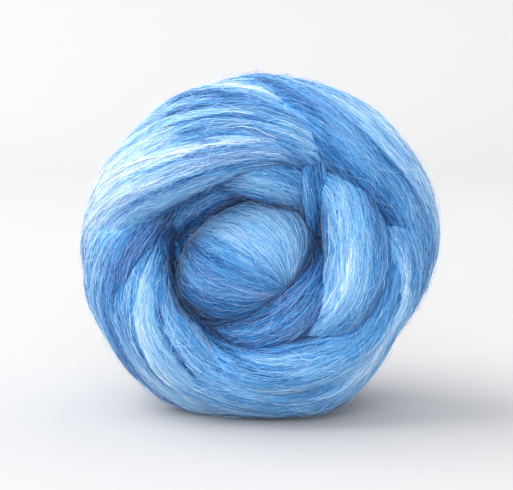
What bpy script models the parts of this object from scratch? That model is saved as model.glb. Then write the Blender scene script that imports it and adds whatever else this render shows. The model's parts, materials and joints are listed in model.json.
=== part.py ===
"""A ball of combed wool roving, wound like a nest and standing on a small flat foot.

The ball is one soft rope of wool. Its turns are swept strands with a flattened section, placed
about the nest's axis, which runs from the front to the back through the middle of the ball. The
strands, the small ball in the middle and the body of the winding are joined into one closed
solid. Lengths in the tables are millimetres and angles are degrees.
"""

import math
from typing import NamedTuple

import bmesh
import bpy
from mathutils import Matrix, Vector

MM = 0.001

# Where the nest's axis lies. The ball's box is centred over the origin and stands on it.
AXIS_X = 0.93
AXIS_Y = -4.3
AXIS_HEIGHT = 60.5

# The body of the winding, hidden under the turns.
BODY_RADII = (53.0, 33.0, 53.0)
BODY_FORWARD = -10.0

# The small ball that the nest is wound round.
HEART_CENTRE = (-4.8, 18.5, -6.0)
HEART_RADII = (26.4, 22.5, 20.4)
HEART_TILT = -36.0

# How finely the strands are swept, joined and thinned.
RING_POINTS = 20
STEPS_BETWEEN_SECTIONS = 5
JOIN_CELL = 1.2
SMOOTH_PASSES = 1
SMOOTH_SHARE = 0.5
KEPT_SHARE = 0.085
FOOT_SIZE = 200.0

WOOL_COLOUR = (0.13, 0.36, 0.71, 1.0)
WOOL_ROUGHNESS = 0.9


class Section(NamedTuple):
    """One cross-section of a strand, placed about the nest's axis."""

    clock: float  # round the axis, clockwise from the top as seen from the front
    radius: float  # from the axis to the strand's middle
    forward: float  # in front of the ball's middle plane
    half_width: float
    half_thickness: float
    lean: float  # turn of the flat side: 0 faces the front, 90 faces out from the axis


class Station(NamedTuple):
    """A place along a strand with its section, ready to sweep."""

    middle: Vector
    normal: Vector
    half_width: float
    half_thickness: float


# The last turn: from the back over the crown, then down the right side.
CROWN = (
    Section(138, 46, -22, 9, 7, 128),
    Section(146, 36, -32, 11, 8, 142),
    Section(166, 23, -39.5, 13, 9, 158),
    Section(208, 14, -43, 14, 9, 168),
    Section(262, 14, -43.5, 14, 9.5, 168),
    Section(296, 22, -41, 14, 9.5, 160),
    Section(314, 32, -35.5, 13.5, 9.5, 148),
    Section(328, 41, -26.5, 13, 9.5, 130),
    Section(343, 47, -14, 13, 9.5, 105),
    Section(358, 49.3, -1, 14.5, 9.5, 86),
    Section(14, 48.2, 11, 16, 10, 72),
    Section(32, 49, 20, 17, 10, 60),
    Section(52, 49, 23.5, 16.4, 10, 56),
    Section(72, 50.8, 21.5, 15.3, 10, 62),
    Section(90, 51.5, 17, 14.6, 10, 70),
    Section(108, 50, 11, 15, 10, 77),
    Section(126, 48.5, 6, 14.5, 10, 84),
    Section(146, 48, 4, 13.5, 9.5, 88),
    Section(166, 45.5, 4, 11, 8, 90),
    Section(184, 42, 4, 8, 7, 90),
)

# The turn under it at the upper left, as three bands side by side.
SHOULDER_TOP = (
    Section(122, 36, -26, 9, 7, 146),
    Section(147, 31.5, -32, 12.5, 8.5, 152),
    Section(178, 30, -34, 14.5, 9, 154),
    Section(211, 30.5, -34, 14.5, 9, 154),
    Section(240, 33.5, -32, 13.5, 9, 150),
    Section(262, 38.5, -28, 13, 9, 143),
    Section(282, 45.5, -21.5, 12.5, 9, 128),
    Section(300, 49.8, -11, 12.5, 9, 104),
    Section(320, 50.5, 1, 12.5, 9, 83),
    Section(340, 48.5, 12, 12.5, 9, 69),
    Section(0, 45, 19, 11.5, 9, 59),
    Section(18, 41, 20, 10, 8, 50),
    Section(34, 37, 16, 8, 7, 45),
)
SHOULDER_MIDDLE = (
    Section(132, 43, -13, 9, 7, 126),
    Section(153, 47, -20, 12, 8.5, 128),
    Section(177, 50, -21, 14.5, 9.5, 124),
    Section(202, 50, -20.5, 14.5, 9.5, 122),
    Section(226, 50, -18.5, 13.5, 9, 118),
    Section(249, 52, -14, 13, 9, 110),
    Section(270, 54.5, -6, 12.5, 9, 95),
    Section(291, 52.2, 11, 12.5, 9, 74),
    Section(310, 48.9, 24, 12, 9, 54),
    Section(330, 46, 30, 10.5, 9, 42),
    Section(350, 43, 32, 9.5, 8.5, 34),
    Section(10, 40.5, 31.5, 8, 7.5, 29),
    Section(28, 38.5, 27, 7, 6.5, 25),
    Section(44, 36, 19, 6, 6, 20),
)
SHOULDER_LOW = (
    Section(194, 44, -4, 8, 7, 104),
    Section(211, 51, -6, 11, 8.5, 102),
    Section(234, 54, -6.5, 11.5, 9, 98),
    Section(255, 55, -3, 11.5, 9, 90),
    Section(273, 54, 10, 12, 9, 73),
    Section(292, 48.5, 24, 11.5, 9, 50),
    Section(312, 41, 32.5, 10.5, 9, 29),
    Section(332, 37, 35, 9, 8.5, 18),
    Section(352, 35.5, 34.5, 7.5, 7.5, 12),
    Section(11, 35.5, 31.5, 6, 6.5, 10),
    Section(30, 35, 25, 5, 5, 5),
)

# The turn at the left, which comes out of the hollow and goes down under the ball.
LEFT_FLANK = (
    Section(318, 33, 6, 5, 5, 0),
    Section(303, 37, 14, 7, 6.5, 8),
    Section(287, 42, 20.5, 10, 8, 22),
    Section(270, 47.5, 21, 13, 9, 42),
    Section(253, 51.8, 17.5, 15.5, 9.5, 57),
    Section(236, 53.3, 16, 15.5, 9.5, 64),
    Section(220, 55.5, 13, 15.5, 9.5, 70),
    Section(203, 56, 10, 16, 9.5, 77),
    Section(185, 55.5, 6, 16.5, 9.5, 84),
    Section(166, 56, 0, 16, 9.5, 91),
    Section(146, 54.5, -8, 14, 9.5, 100),
    Section(126, 49, -15.5, 13, 9, 112),
    Section(107, 46, -21.5, 13, 9, 124),
    Section(88, 43.5, -25, 13, 9, 132),
    Section(66, 42.5, -26.5, 13, 9, 135),
    Section(43, 42.5, -26, 13, 9, 134),
    Section(20, 43.5, -23.5, 12, 8.5, 130),
    Section(0, 45, -18, 10, 8, 120),
    Section(344, 45, -10, 8, 7, 110),
)

# The ring at the bottom: an outer band that starts at the left, and an inner one on it.
RING_OUTER = (
    Section(292, 33.5, 12, 4, 4, 0),
    Section(276, 35, 20.5, 4.5, 5.5, 5),
    Section(262, 38, 26, 6, 7, 11),
    Section(249, 41.5, 29, 8.3, 8.5, 19),
    Section(236, 44.5, 30, 10.8, 9, 28),
    Section(222, 46, 29.5, 13, 9.5, 37),
    Section(206, 47.5, 28, 13, 9, 45),
    Section(189, 48, 27, 12.5, 9, 51),
    Section(172, 49.5, 26, 12, 9, 54),
    Section(155, 51.5, 24.5, 12, 9, 56),
    Section(139, 48.8, 25.5, 11.5, 9, 52),
    Section(123, 46.6, 27, 9.5, 8.5, 44),
    Section(107, 47.6, 28.5, 8.5, 8.5, 38),
    Section(92, 47, 29.5, 7.5, 8, 32),
    Section(77, 43.5, 26.3, 6.4, 7, 26),
    Section(62, 39, 18, 5, 5, 25),
)
RING_INNER = (
    Section(234, 36.5, 16, 4.5, 4.5, 8),
    Section(219, 37.5, 23, 6, 6.5, 10),
    Section(204, 38.8, 28, 7, 8, 12),
    Section(190, 39.5, 31.5, 7.5, 9, 14),
    Section(175, 40, 34.5, 8, 9.5, 17),
    Section(160, 41, 34.5, 8.5, 9.5, 21),
    Section(147, 42.5, 33.5, 8, 9, 25),
    Section(133, 45, 31.5, 6.5, 8.5, 25),
    Section(118, 45.5, 31, 6, 8, 24),
    Section(103, 45, 31, 6, 8, 22),
    Section(88, 44.5, 28.6, 6.5, 7, 18),
    Section(73, 40, 25, 5.8, 6, 14),
    Section(58, 36, 18.5, 5, 5, 10),
)

# The strand that comes down between the middle and the ring at the right.
INNER_RIGHT = (
    Section(36, 33, 16, 6, 6, 0),
    Section(48, 34.5, 25.5, 8, 7.5, 2),
    Section(62, 34, 31.5, 9.5, 8.5, 0),
    Section(78, 32.5, 34.5, 10.5, 9, -4),
    Section(94, 32.5, 35.5, 10.5, 9, -5),
    Section(110, 33, 35.5, 10.5, 9, -3),
    Section(125, 33.2, 33.5, 9.2, 9, 0),
    Section(139, 32.8, 30.5, 8.2, 8.5, 4),
    Section(153, 34, 25, 7.8, 7.5, 8),
    Section(168, 37, 14, 6.5, 6, 10),
)

# The curl that hugs the small ball from below.
CURL = (
    Section(74, 20, 12, 4.5, 4.5, 10),
    Section(90, 22.5, 20.5, 5.5, 5.5, 16),
    Section(107, 23, 27.5, 6.5, 7, 16),
    Section(126, 22.5, 32, 7.5, 8, 16),
    Section(146, 23.5, 33.5, 9, 8.5, 18),
    Section(166, 25.5, 32.5, 9, 8.5, 20),
    Section(185, 29, 28.5, 8.5, 8, 20),
    Section(203, 33.5, 21.5, 7, 7, 16),
    Section(221, 35.5, 13.5, 6, 6, 14),
    Section(240, 35.5, 5, 5, 5, 10),
)

# The short strand over the small ball, the deep one beside it and the one in the hollow.
BROW = (
    Section(314, 35, 12, 6, 6, -12),
    Section(330, 32, 22, 8, 7, -10),
    Section(348, 28.5, 27, 9, 7.5, -6),
    Section(6, 26.5, 28.5, 9.5, 7.5, -2),
    Section(23, 25, 26.5, 8.5, 7, 2),
    Section(39, 23, 20, 6.5, 6, 6),
    Section(55, 21, 11, 5, 5, 8),
)
DEEP_RIGHT = (
    Section(20, 43, 17, 6, 6, 5),
    Section(28, 37.5, 24, 7, 6.5, 3),
    Section(39, 30.5, 27, 7.5, 6.5, 0),
    Section(54, 25, 25.5, 7, 6, 0),
    Section(75, 22, 19, 6, 5.5, 0),
    Section(98, 21, 10, 5, 5, 0),
)
HOLLOW = (
    Section(254, 38, 3, 5, 5, 5),
    Section(268, 36, 9, 5.5, 5.5, 5),
    Section(284, 32, 14.5, 7, 6, 4),
    Section(302, 28.5, 18.5, 7.5, 6, 2),
    Section(322, 26, 20.5, 7.2, 6, 0),
    Section(342, 24.5, 19, 6.5, 5.5, 0),
    Section(2, 24.5, 12, 4.5, 5, 0),
)

# The turns that show at the back only: beside the middle, and along the rim at the right.
BACK_MIDDLE = (
    Section(160, 19, -29, 10, 7, 160),
    Section(130, 19, -35, 14, 9, 164),
    Section(96, 18.5, -37, 17, 10, 165),
    Section(60, 19, -37, 17.5, 10, 165),
    Section(27, 22, -35.5, 16, 10, 161),
    Section(0, 27, -32, 13, 9, 155),
    Section(337, 32, -25, 9, 7, 148),
)
RIGHT_RIM = (
    Section(120, 47, -6, 7, 7, 104),
    Section(106, 51, -7, 10, 8.5, 99),
    Section(88, 52.5, -6, 12.5, 9, 95),
    Section(66, 51.5, -5, 14, 9, 93),
    Section(44, 50.5, -5, 14, 9, 93),
    Section(22, 50, -5.5, 13, 9, 94),
    Section(2, 47, -8, 10, 8, 98),
    Section(345, 43, -10, 8, 7, 104),
)

STRANDS = (
    CROWN,
    SHOULDER_TOP,
    SHOULDER_MIDDLE,
    SHOULDER_LOW,
    LEFT_FLANK,
    RING_OUTER,
    RING_INNER,
    INNER_RIGHT,
    CURL,
    BROW,
    DEEP_RIGHT,
    HOLLOW,
    BACK_MIDDLE,
    RIGHT_RIM,
)


def blend(values, share):
    """Catmull-Rom value between the second and third of four values."""
    before, start, end, after = values
    return 0.5 * (
        2 * start
        + (end - before) * share
        + (2 * before - 5 * start + 4 * end - after) * share**2
        + (3 * start - before - 3 * end + after) * share**3
    )


def station_of(section):
    """The station that a section of the table stands for."""
    clock = math.radians(section.clock)
    lean = math.radians(section.lean)
    outward = Vector((math.sin(clock), 0, math.cos(clock)))
    front = Vector((0, -1, 0))
    middle = outward * section.radius + front * section.forward
    normal = outward * math.sin(lean) + front * math.cos(lean)
    return Station(middle, normal, section.half_width, section.half_thickness)


def stations_of(sections):
    """Closely spaced stations along a strand, from its table."""
    rows = [station_of(section) for section in sections]
    rows = [rows[0]] + rows + [rows[-1]]
    stations = []
    for start in range(1, len(rows) - 2):
        last = start == len(rows) - 3
        for step in range(STEPS_BETWEEN_SECTIONS + last):
            share = step / STEPS_BETWEEN_SECTIONS
            columns = zip(*rows[start - 1 : start + 3])
            stations.append(Station(*(blend(column, share) for column in columns)))
    return stations


def sweep(model, stations):
    """Adds a closed strand: a grid rolled round the stations, with its ends filled."""
    rows = len(stations) - 1
    made = bmesh.ops.create_grid(model, x_segments=RING_POINTS, y_segments=rows, size=0.5)
    verts = made["verts"]
    for vert in verts:
        station = round((vert.co.y + 0.5) * rows)
        angle = (vert.co.x + 0.5) * 2 * math.pi
        here = stations[station]
        along = stations[min(station + 1, rows)].middle - stations[max(station - 1, 0)].middle
        along.normalize()
        normal = (here.normal - along * here.normal.dot(along)).normalized()
        sideways = along.cross(normal)
        across = sideways * (math.cos(angle) * here.half_width)
        up = normal * (math.sin(angle) * here.half_thickness)
        vert.co = here.middle + across + up
    bmesh.ops.remove_doubles(model, verts=verts, dist=0.001)
    rims = [edge for edge in model.edges if edge.is_boundary]
    bmesh.ops.holes_fill(model, edges=rims, sides=RING_POINTS)


def add_ball(model, centre, radii, tilt):
    """Adds an ellipsoid to the model."""
    x, forward, z = centre
    place = (
        Matrix.Translation((x, -forward, z))
        @ Matrix.Rotation(math.radians(tilt), 4, "Y")
        @ Matrix.Diagonal((*radii, 1))
    )
    bmesh.ops.create_icosphere(model, subdivisions=4, radius=1, matrix=place)


def keep_outer_shell(mesh):
    """Keeps the largest shell of the joined mesh, so that no sealed pocket stays inside it."""
    model = bmesh.new()
    model.from_mesh(mesh)
    model.verts.ensure_lookup_table()
    unseen = set(model.verts)
    shells = []
    while unseen:
        shell = set()
        to_visit = [unseen.pop()]
        while to_visit:
            vert = to_visit.pop()
            shell.add(vert)
            for edge in vert.link_edges:
                other = edge.other_vert(vert)
                if other in unseen:
                    unseen.remove(other)
                    to_visit.append(other)
        shells.append(shell)
    shells.sort(key=len)
    for shell in shells[:-1]:
        bmesh.ops.delete(model, geom=list(shell), context="VERTS")
    model.to_mesh(mesh)
    model.free()


def evaluated_copy(obj):
    """A mesh of the object with its modifiers applied."""
    graph = bpy.context.evaluated_depsgraph_get()
    return bpy.data.meshes.new_from_object(obj.evaluated_get(graph))


def wool_material():
    """Dyed wool: matt, without gloss."""
    material = bpy.data.materials.new("blue_wool")
    material.use_nodes = True
    shader = material.node_tree.nodes["Principled BSDF"]
    shader.inputs["Base Color"].default_value = WOOL_COLOUR
    shader.inputs["Roughness"].default_value = WOOL_ROUGHNESS
    shader.inputs["Metallic"].default_value = 0.0
    return material


def add_foot_cutter(collection):
    """A block under the floor's plane, which cuts the flat foot."""
    model = bmesh.new()
    half = FOOT_SIZE * MM / 2
    place = Matrix.Translation((0, 0, -half)) @ Matrix.Diagonal((2 * half, 2 * half, 2 * half, 1))
    bmesh.ops.create_cube(model, size=1, matrix=place)
    mesh = bpy.data.meshes.new("foot_cutter")
    model.to_mesh(mesh)
    model.free()
    cutter = bpy.data.objects.new("foot_cutter", mesh)
    cutter.hide_render = True
    cutter.display_type = "WIRE"
    collection.objects.link(cutter)
    return cutter


def new_collection(name):
    """A collection in the scene."""
    collection = bpy.data.collections.new(name)
    bpy.context.scene.collection.children.link(collection)
    return collection


def joined_turns():
    """All strands and balls in one mesh, in metres, not yet united."""
    model = bmesh.new()
    for sections in STRANDS:
        sweep(model, stations_of(sections))
    add_ball(model, (0, BODY_FORWARD, 0), BODY_RADII, 0)
    add_ball(model, HEART_CENTRE, HEART_RADII, HEART_TILT)
    bmesh.ops.recalc_face_normals(model, faces=model.faces)
    place = Matrix.Scale(MM, 4) @ Matrix.Translation((AXIS_X, AXIS_Y, AXIS_HEIGHT))
    bmesh.ops.transform(model, matrix=place, verts=model.verts)
    mesh = bpy.data.meshes.new("wool_roving")
    model.to_mesh(mesh)
    model.free()
    return mesh


def main():
    """Builds the ball of roving as one solid."""
    for obj in list(bpy.data.objects):
        bpy.data.objects.remove(obj, do_unlink=True)
    parts = new_collection("wool_roving_ball")
    cutters = new_collection("cutters")

    roving = bpy.data.objects.new("wool_roving", joined_turns())
    parts.objects.link(roving)
    remesh = roving.modifiers.new("unite", "REMESH")
    remesh.mode = "VOXEL"
    remesh.voxel_size = JOIN_CELL * MM
    smooth = roving.modifiers.new("soften", "SMOOTH")
    smooth.factor = SMOOTH_SHARE
    smooth.iterations = SMOOTH_PASSES
    thin = roving.modifiers.new("thin", "DECIMATE")
    thin.ratio = KEPT_SHARE
    solid = evaluated_copy(roving)
    roving.modifiers.clear()
    keep_outer_shell(solid)
    solid.name = "wool_roving"
    roving.data = solid

    cut = roving.modifiers.new("flat_foot", "BOOLEAN")
    cut.operation = "DIFFERENCE"
    cut.solver = "EXACT"
    cut.object = add_foot_cutter(cutters)
    roving.data.materials.clear()
    roving.data.materials.append(wool_material())
    roving.data.shade_smooth()


main()
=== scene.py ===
"""Looks of a ball of combed wool roving, wound like a nest.

The rope of wool is a set of turns about an axis that runs from front to back. Each turn is a
swept strand with shallow locks combed along it, in its own streaks of the melange. Over every
face that shows lies a coat of single fibres, sorted by colour, then short ones that cross them
and loose ones that stand off the ball. A core fills the gaps between the turns. The colours
also carry painted shade, darker in creases, gaps and partings and at tucked ends. Some streaks
are painted highlights where a turn faces the light, and some are painted shade in creases.

A place on a turn is an angle round it, in radians, and a length along it, in millimetres.
Shapes are worked out in millimetres, and meshes are in metres.
"""

import json
import logging
import math
from dataclasses import dataclass, field
from enum import Enum
from typing import NamedTuple, Sequence

import bmesh
import bpy
import numpy as np
from mathutils import Matrix, Vector
from mathutils.bvhtree import BVHTree

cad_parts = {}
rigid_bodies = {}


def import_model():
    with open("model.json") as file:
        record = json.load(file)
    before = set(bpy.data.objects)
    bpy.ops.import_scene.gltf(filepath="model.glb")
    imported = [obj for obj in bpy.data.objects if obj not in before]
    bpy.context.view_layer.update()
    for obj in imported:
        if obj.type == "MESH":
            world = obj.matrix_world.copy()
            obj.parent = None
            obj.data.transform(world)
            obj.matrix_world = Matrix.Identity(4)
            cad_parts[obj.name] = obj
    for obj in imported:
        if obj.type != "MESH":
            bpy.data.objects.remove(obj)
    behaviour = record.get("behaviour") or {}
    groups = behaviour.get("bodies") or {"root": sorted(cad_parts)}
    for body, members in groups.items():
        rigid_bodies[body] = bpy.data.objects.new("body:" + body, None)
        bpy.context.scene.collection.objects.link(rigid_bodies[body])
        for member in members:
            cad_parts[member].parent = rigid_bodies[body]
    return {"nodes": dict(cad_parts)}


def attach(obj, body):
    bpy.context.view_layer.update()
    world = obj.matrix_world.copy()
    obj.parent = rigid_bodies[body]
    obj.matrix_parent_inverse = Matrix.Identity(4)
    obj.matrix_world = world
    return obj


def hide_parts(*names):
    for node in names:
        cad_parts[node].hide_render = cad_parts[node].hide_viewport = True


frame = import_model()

LOG = logging.getLogger("wool_roving")
MM = 0.001

# Where the nest's axis lies, in millimetres, as in the solid.
AXIS = (0.93, -4.3, 60.5)
# The wool ends this far over the floor, in millimetres.
FLOOR_CLEARANCE = 0.15
# A noise along a strand repeats after this many cells.
NOISE_ROWS = 64
# Steps from a coat's seed to those of its ribbons and of its sorting by colour.
RIBBON_STEP = 7
SORTING_STEP = 5
# The bake layout of the fibres: tiles in a row, a tile's margin and a fibre's width in it.
TILES = 4
TILE_MARGIN = 0.01
BAKED_WIDTH = 0.0016


class Section(NamedTuple):
    """One cross-section of a turn about the nest's axis, in millimetres and degrees."""

    clock: float
    radius: float
    forward: float
    half_width: float
    half_thickness: float
    lean: float


class Tint(Enum):
    """What a streak does to the melange: the lightness it has, or violet fibres in it."""

    SNOW = 1.7
    MILK = 1.2
    PALE = 0.85
    SOFT = 0.4
    BLUE = -0.5
    DEEP = -1.4
    VIOLET = 0.0


class Streak(NamedTuple):
    """A lock of another tint along a turn: across runs from -1, the inner edge, to 1, the outer."""

    tint: Tint
    start: float
    end: float
    across: float
    drift: float
    width: float


class Grain(Enum):
    """The patterns combed along a strand: step of the seed, cells round it, cell length in mm."""

    LOCKS = (0, 15, 55.0)
    RIDGES = (100, 46, 40.0)
    MELANGE = (200, 26, 60.0)
    GREY = (300, 14, 45.0)
    PARTINGS = (400, 9, 34.0)
    SLIVERS = (500, 84, 26.0)


def srgb(code: str) -> tuple[float, float, float, float]:
    """Turns a colour into the linear values that shaders use.

    Args:
        code: An sRGB colour as hex, such as "#79a9e0".

    Returns:
        Linear red, green, blue and an alpha of 1.
    """
    values = [int(code[place : place + 2], 16) / 255 for place in (1, 3, 5)]
    red, green, blue = (
        value / 12.92 if value <= 0.04045 else ((value + 0.055) / 1.055) ** 2.4 for value in values
    )
    return red, green, blue, 1.0


def add_node(
    tree: bpy.types.NodeTree,
    kind: str,
    settings: dict[str, object] | None = None,
    values: dict[str | int, object] | None = None,
    links: dict[str | int, bpy.types.NodeSocket] | None = None,
) -> bpy.types.Node:
    """Adds a node to a material's tree.

    Args:
        tree: The tree that gets the node.
        kind: The node's type, such as "ShaderNodeTexNoise".
        settings: Properties of the node itself.
        values: Values for its input sockets, by name or place.
        links: Output sockets to link to its inputs, by name or place.

    Returns:
        The new node.
    """
    node = tree.nodes.new(kind)
    for name, value in (settings or {}).items():
        setattr(node, name, value)
    for name, value in (values or {}).items():
        node.inputs[name].default_value = value
    for name, socket in (links or {}).items():
        tree.links.new(socket, node.inputs[name])
    return node


def new_material(name: str) -> tuple[bpy.types.Material, bpy.types.NodeTree]:
    """Makes an empty node material.

    Args:
        name: The material's name.

    Returns:
        The material and its emptied tree.
    """
    material = bpy.data.materials.new(name)
    material.use_nodes = True
    material.node_tree.nodes.clear()
    return material, material.node_tree


class Pattern(NamedTuple):
    """A noise stretched along the combing: its cell in millimetres and its share in the colour."""

    width: float
    length: float
    share: float
    detail: float
    roughness: float
    distortion: float


@dataclass(frozen=True)
class CombedWool:
    """Dyed merino top, combed, as the body of a strand under its fibres.

    A merino fibre is some 0.02 mm thick, too fine to show, so the pattern of fibres is as wide as
    a bundle of them, and gives the eye combed lines. The locks are broader streaks, where the dye
    baths aren't quite mixed. A stop is a place on the colour ramp and its colour.
    """

    name: str = "combed_merino_top"
    stops: tuple[tuple[float, str], ...] = (
        (0.05, "#0a356c"),
        (0.42, "#4294d7"),
        (0.7, "#8fc8f0"),
        (0.95, "#e2effb"),
    )
    fibres: Pattern = Pattern(0.4, 9.0, 1.5, 3.0, 0.6, 0.3)
    locks: Pattern = Pattern(2.2, 70.0, 0.7, 2.0, 0.5, 0.0)
    bump_depth: float = 0.35
    bump_strength: float = 0.7
    roughness: float = 0.85
    specular: float = 0.2
    sheen: float = 0.35
    sheen_roughness: float = 0.5
    sheen_tint: str = "#e8f2ff"

    def material(self) -> bpy.types.Material:
        """Builds the material.

        Returns:
            A node material that reads the piece's "Combing" map, in millimetres across and along,
            and its "tone" attribute.
        """
        material, tree = new_material(self.name)
        combing = add_node(tree, "ShaderNodeUVMap", {"uv_map": "Combing"})
        # The tone holds the melange and the painted shade of creases and gaps.
        tone = add_node(tree, "ShaderNodeAttribute", {"attribute_name": "tone"})
        noises, value = [], tone.outputs["Fac"]
        for pattern in (self.fibres, self.locks):
            place = add_node(
                tree,
                "ShaderNodeMapping",
                values={"Scale": (1 / pattern.width, 1 / pattern.length, 1)},
                links={"Vector": combing.outputs["UV"]},
            )
            noise = add_node(
                tree,
                "ShaderNodeTexNoise",
                values={
                    "Scale": 1.0,
                    "Detail": pattern.detail,
                    "Roughness": pattern.roughness,
                    "Distortion": pattern.distortion,
                },
                links={"Vector": place.outputs["Vector"]},
            )
            total = add_node(
                tree,
                "ShaderNodeMath",
                {"operation": "MULTIPLY_ADD"},
                {1: pattern.share},
                {0: noise.outputs["Fac"], 2: value},
            )
            value = total.outputs["Value"]
            noises.append(noise)
        ramp = add_node(tree, "ShaderNodeValToRGB", links={"Fac": value})
        colours = ramp.color_ramp.elements
        for element, (place, code) in zip(colours, (self.stops[0], self.stops[-1])):
            element.position, element.color = place, srgb(code)
        for place, code in self.stops[1:-1]:
            colours.new(place).color = srgb(code)
        bump = add_node(
            tree,
            "ShaderNodeBump",
            values={"Strength": self.bump_strength, "Distance": self.bump_depth * MM},
            links={"Height": noises[0].outputs["Fac"]},
        )
        # Wool has no polish: no highlight shows, and a pale sheen lies where fibres end at a rim.
        shader = add_node(
            tree,
            "ShaderNodeBsdfPrincipled",
            values={
                "Roughness": self.roughness,
                "Specular IOR Level": self.specular,
                "Sheen Weight": self.sheen,
                "Sheen Roughness": self.sheen_roughness,
                "Sheen Tint": srgb(self.sheen_tint),
            },
            links={"Base Color": ramp.outputs["Color"], "Normal": bump.outputs["Normal"]},
        )
        add_node(tree, "ShaderNodeOutputMaterial", links={"Surface": shader.outputs["BSDF"]})
        return material


@dataclass(frozen=True)
class FibreWool:
    """Merino fibres of one dye bath, carded into the melange, each a little lighter or darker."""

    name: str
    dark: str
    light: str
    patch_length: float = 2.5
    patch_share: float = 1.2
    roughness: float = 0.75
    specular: float = 0.25
    sheen: float = 0.7
    sheen_roughness: float = 0.35
    sheen_tint: str = "#eef5ff"

    def material(self) -> bpy.types.Material:
        """Builds the material.

        Returns:
            A node material that reads the fibres' "Fibre" map and their "tone" attribute.
        """
        material, tree = new_material(self.name)
        along = add_node(tree, "ShaderNodeUVMap", {"uv_map": "Fibre"})
        # Dye takes unevenly along a fibre, in patches of a few millimetres.
        place = add_node(
            tree,
            "ShaderNodeMapping",
            values={"Scale": (0.0, 1 / self.patch_length, 1)},
            links={"Vector": along.outputs["UV"]},
        )
        dye = add_node(
            tree,
            "ShaderNodeTexNoise",
            values={"Scale": 1.0, "Detail": 2.0, "Roughness": 0.6},
            links={"Vector": place.outputs["Vector"]},
        )
        # The tone holds the fibre's melange and the painted shade of creases and gaps.
        tone = add_node(tree, "ShaderNodeAttribute", {"attribute_name": "tone"})
        share = add_node(
            tree,
            "ShaderNodeMath",
            {"operation": "MULTIPLY_ADD", "use_clamp": True},
            {1: self.patch_share},
            {0: dye.outputs["Fac"], 2: tone.outputs["Fac"]},
        )
        colour = add_node(
            tree,
            "ShaderNodeMix",
            {"data_type": "RGBA"},
            {6: srgb(self.dark), 7: srgb(self.light)},
            {0: share.outputs["Value"]},
        )
        # Fine scales on a fibre scatter light: it looks matt, with a soft pale glow at the side.
        shader = add_node(
            tree,
            "ShaderNodeBsdfPrincipled",
            values={
                "Roughness": self.roughness,
                "Specular IOR Level": self.specular,
                "Sheen Weight": self.sheen,
                "Sheen Roughness": self.sheen_roughness,
                "Sheen Tint": srgb(self.sheen_tint),
            },
            links={"Base Color": colour.outputs[2]},
        )
        add_node(tree, "ShaderNodeOutputMaterial", links={"Surface": shader.outputs["BSDF"]})
        return material


@dataclass(frozen=True)
class MattPaper:
    """A roll of studio paper: a pale grey with no gloss, which carries only the soft shadow."""

    name: str = "matt_white_paper"
    colour: str = "#bfbfbf"
    roughness: float = 0.9
    specular: float = 0.1

    def material(self) -> bpy.types.Material:
        """Builds the material.

        Returns:
            A plain node material.
        """
        material, tree = new_material(self.name)
        # Paper fibres scatter all light: an even tone, without any reflection of the ball.
        shader = add_node(
            tree,
            "ShaderNodeBsdfPrincipled",
            values={
                "Base Color": srgb(self.colour),
                "Roughness": self.roughness,
                "Specular IOR Level": self.specular,
            },
        )
        add_node(tree, "ShaderNodeOutputMaterial", links={"Surface": shader.outputs["BSDF"]})
        return material


class Shade(Enum):
    """The dye baths of the melange, from the lightest to the darkest, and the violet one."""

    WHITE = FibreWool("white_merino_fibres", "#c4daf0", "#fbfcfe")
    PALE = FibreWool("pale_blue_merino_fibres", "#8cc4ee", "#cbe6fa")
    LIGHT = FibreWool("light_blue_merino_fibres", "#5ea6dc", "#9ccded")
    MID = FibreWool("mid_blue_merino_fibres", "#3a8acb", "#6cacdf")
    DEEP = FibreWool("deep_blue_merino_fibres", "#1f60a3", "#4287c4")
    # The navy bath gets the darkest fibres, mostly those in the painted shade of creases and gaps.
    NAVY = FibreWool("navy_blue_merino_fibres", "#0d2f5f", "#2862a2")
    VIOLET = FibreWool("violet_grey_merino_fibres", "#4f72b2", "#8caadb")


# The least lightness of a fibre in each bath from WHITE to DEEP: a darker one is NAVY.
SHADE_FLOORS = (1.42, 0.68, 0.0, -0.7, -1.5)


def round_share(angle: np.ndarray) -> np.ndarray:
    """Share of the way round a strand at an angle, from 0 to 1."""
    return angle / math.tau % 1


def eased(share: np.ndarray) -> np.ndarray:
    """A share from 0 to 1 that starts and ends gently."""
    return share**2 * (3 - 2 * share)


def unit(vectors: np.ndarray, least: float = 0.0) -> np.ndarray:
    """Vectors of length 1, where the last axis holds a vector, and least keeps zeros whole."""
    return vectors / (np.linalg.norm(vectors, axis=-1, keepdims=True) + least)


def between_cells(
    table: np.ndarray, row: np.ndarray, column: np.ndarray, gentle: bool = False
) -> np.ndarray:
    """Reads a table between its cells. Past an edge it goes on at the other side.

    Args:
        table: The table.
        row: Places down the table, in cells.
        column: Places across it, in cells.
        gentle: Whether the values level out at each cell.

    Returns:
        The values there.
    """
    low, left = np.floor(row).astype(int), np.floor(column).astype(int)
    up, across = row - low, column - left
    if gentle:
        up, across = eased(up), eased(across)
    rows, columns = table.shape
    below, above = (
        table[line % rows, left % columns] * (1 - across)
        + table[line % rows, (left + 1) % columns] * across
        for line in (low, low + 1)
    )
    return below * (1 - up) + above * up


def neighbours(table: np.ndarray, across: int) -> np.ndarray:
    """Adds up a table's cells round each cell, one row up and down.

    Args:
        table: The table, whose columns go round.
        across: Number of columns to each side.

    Returns:
        The sums.
    """
    total = np.zeros(table.shape)
    for step in range(-across, across + 1):
        for row in (-1, 0, 1):
            rows = np.clip(np.arange(len(table)) + row, 0, len(table) - 1)
            total += np.roll(table, step, axis=1)[rows]
    return total


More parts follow.
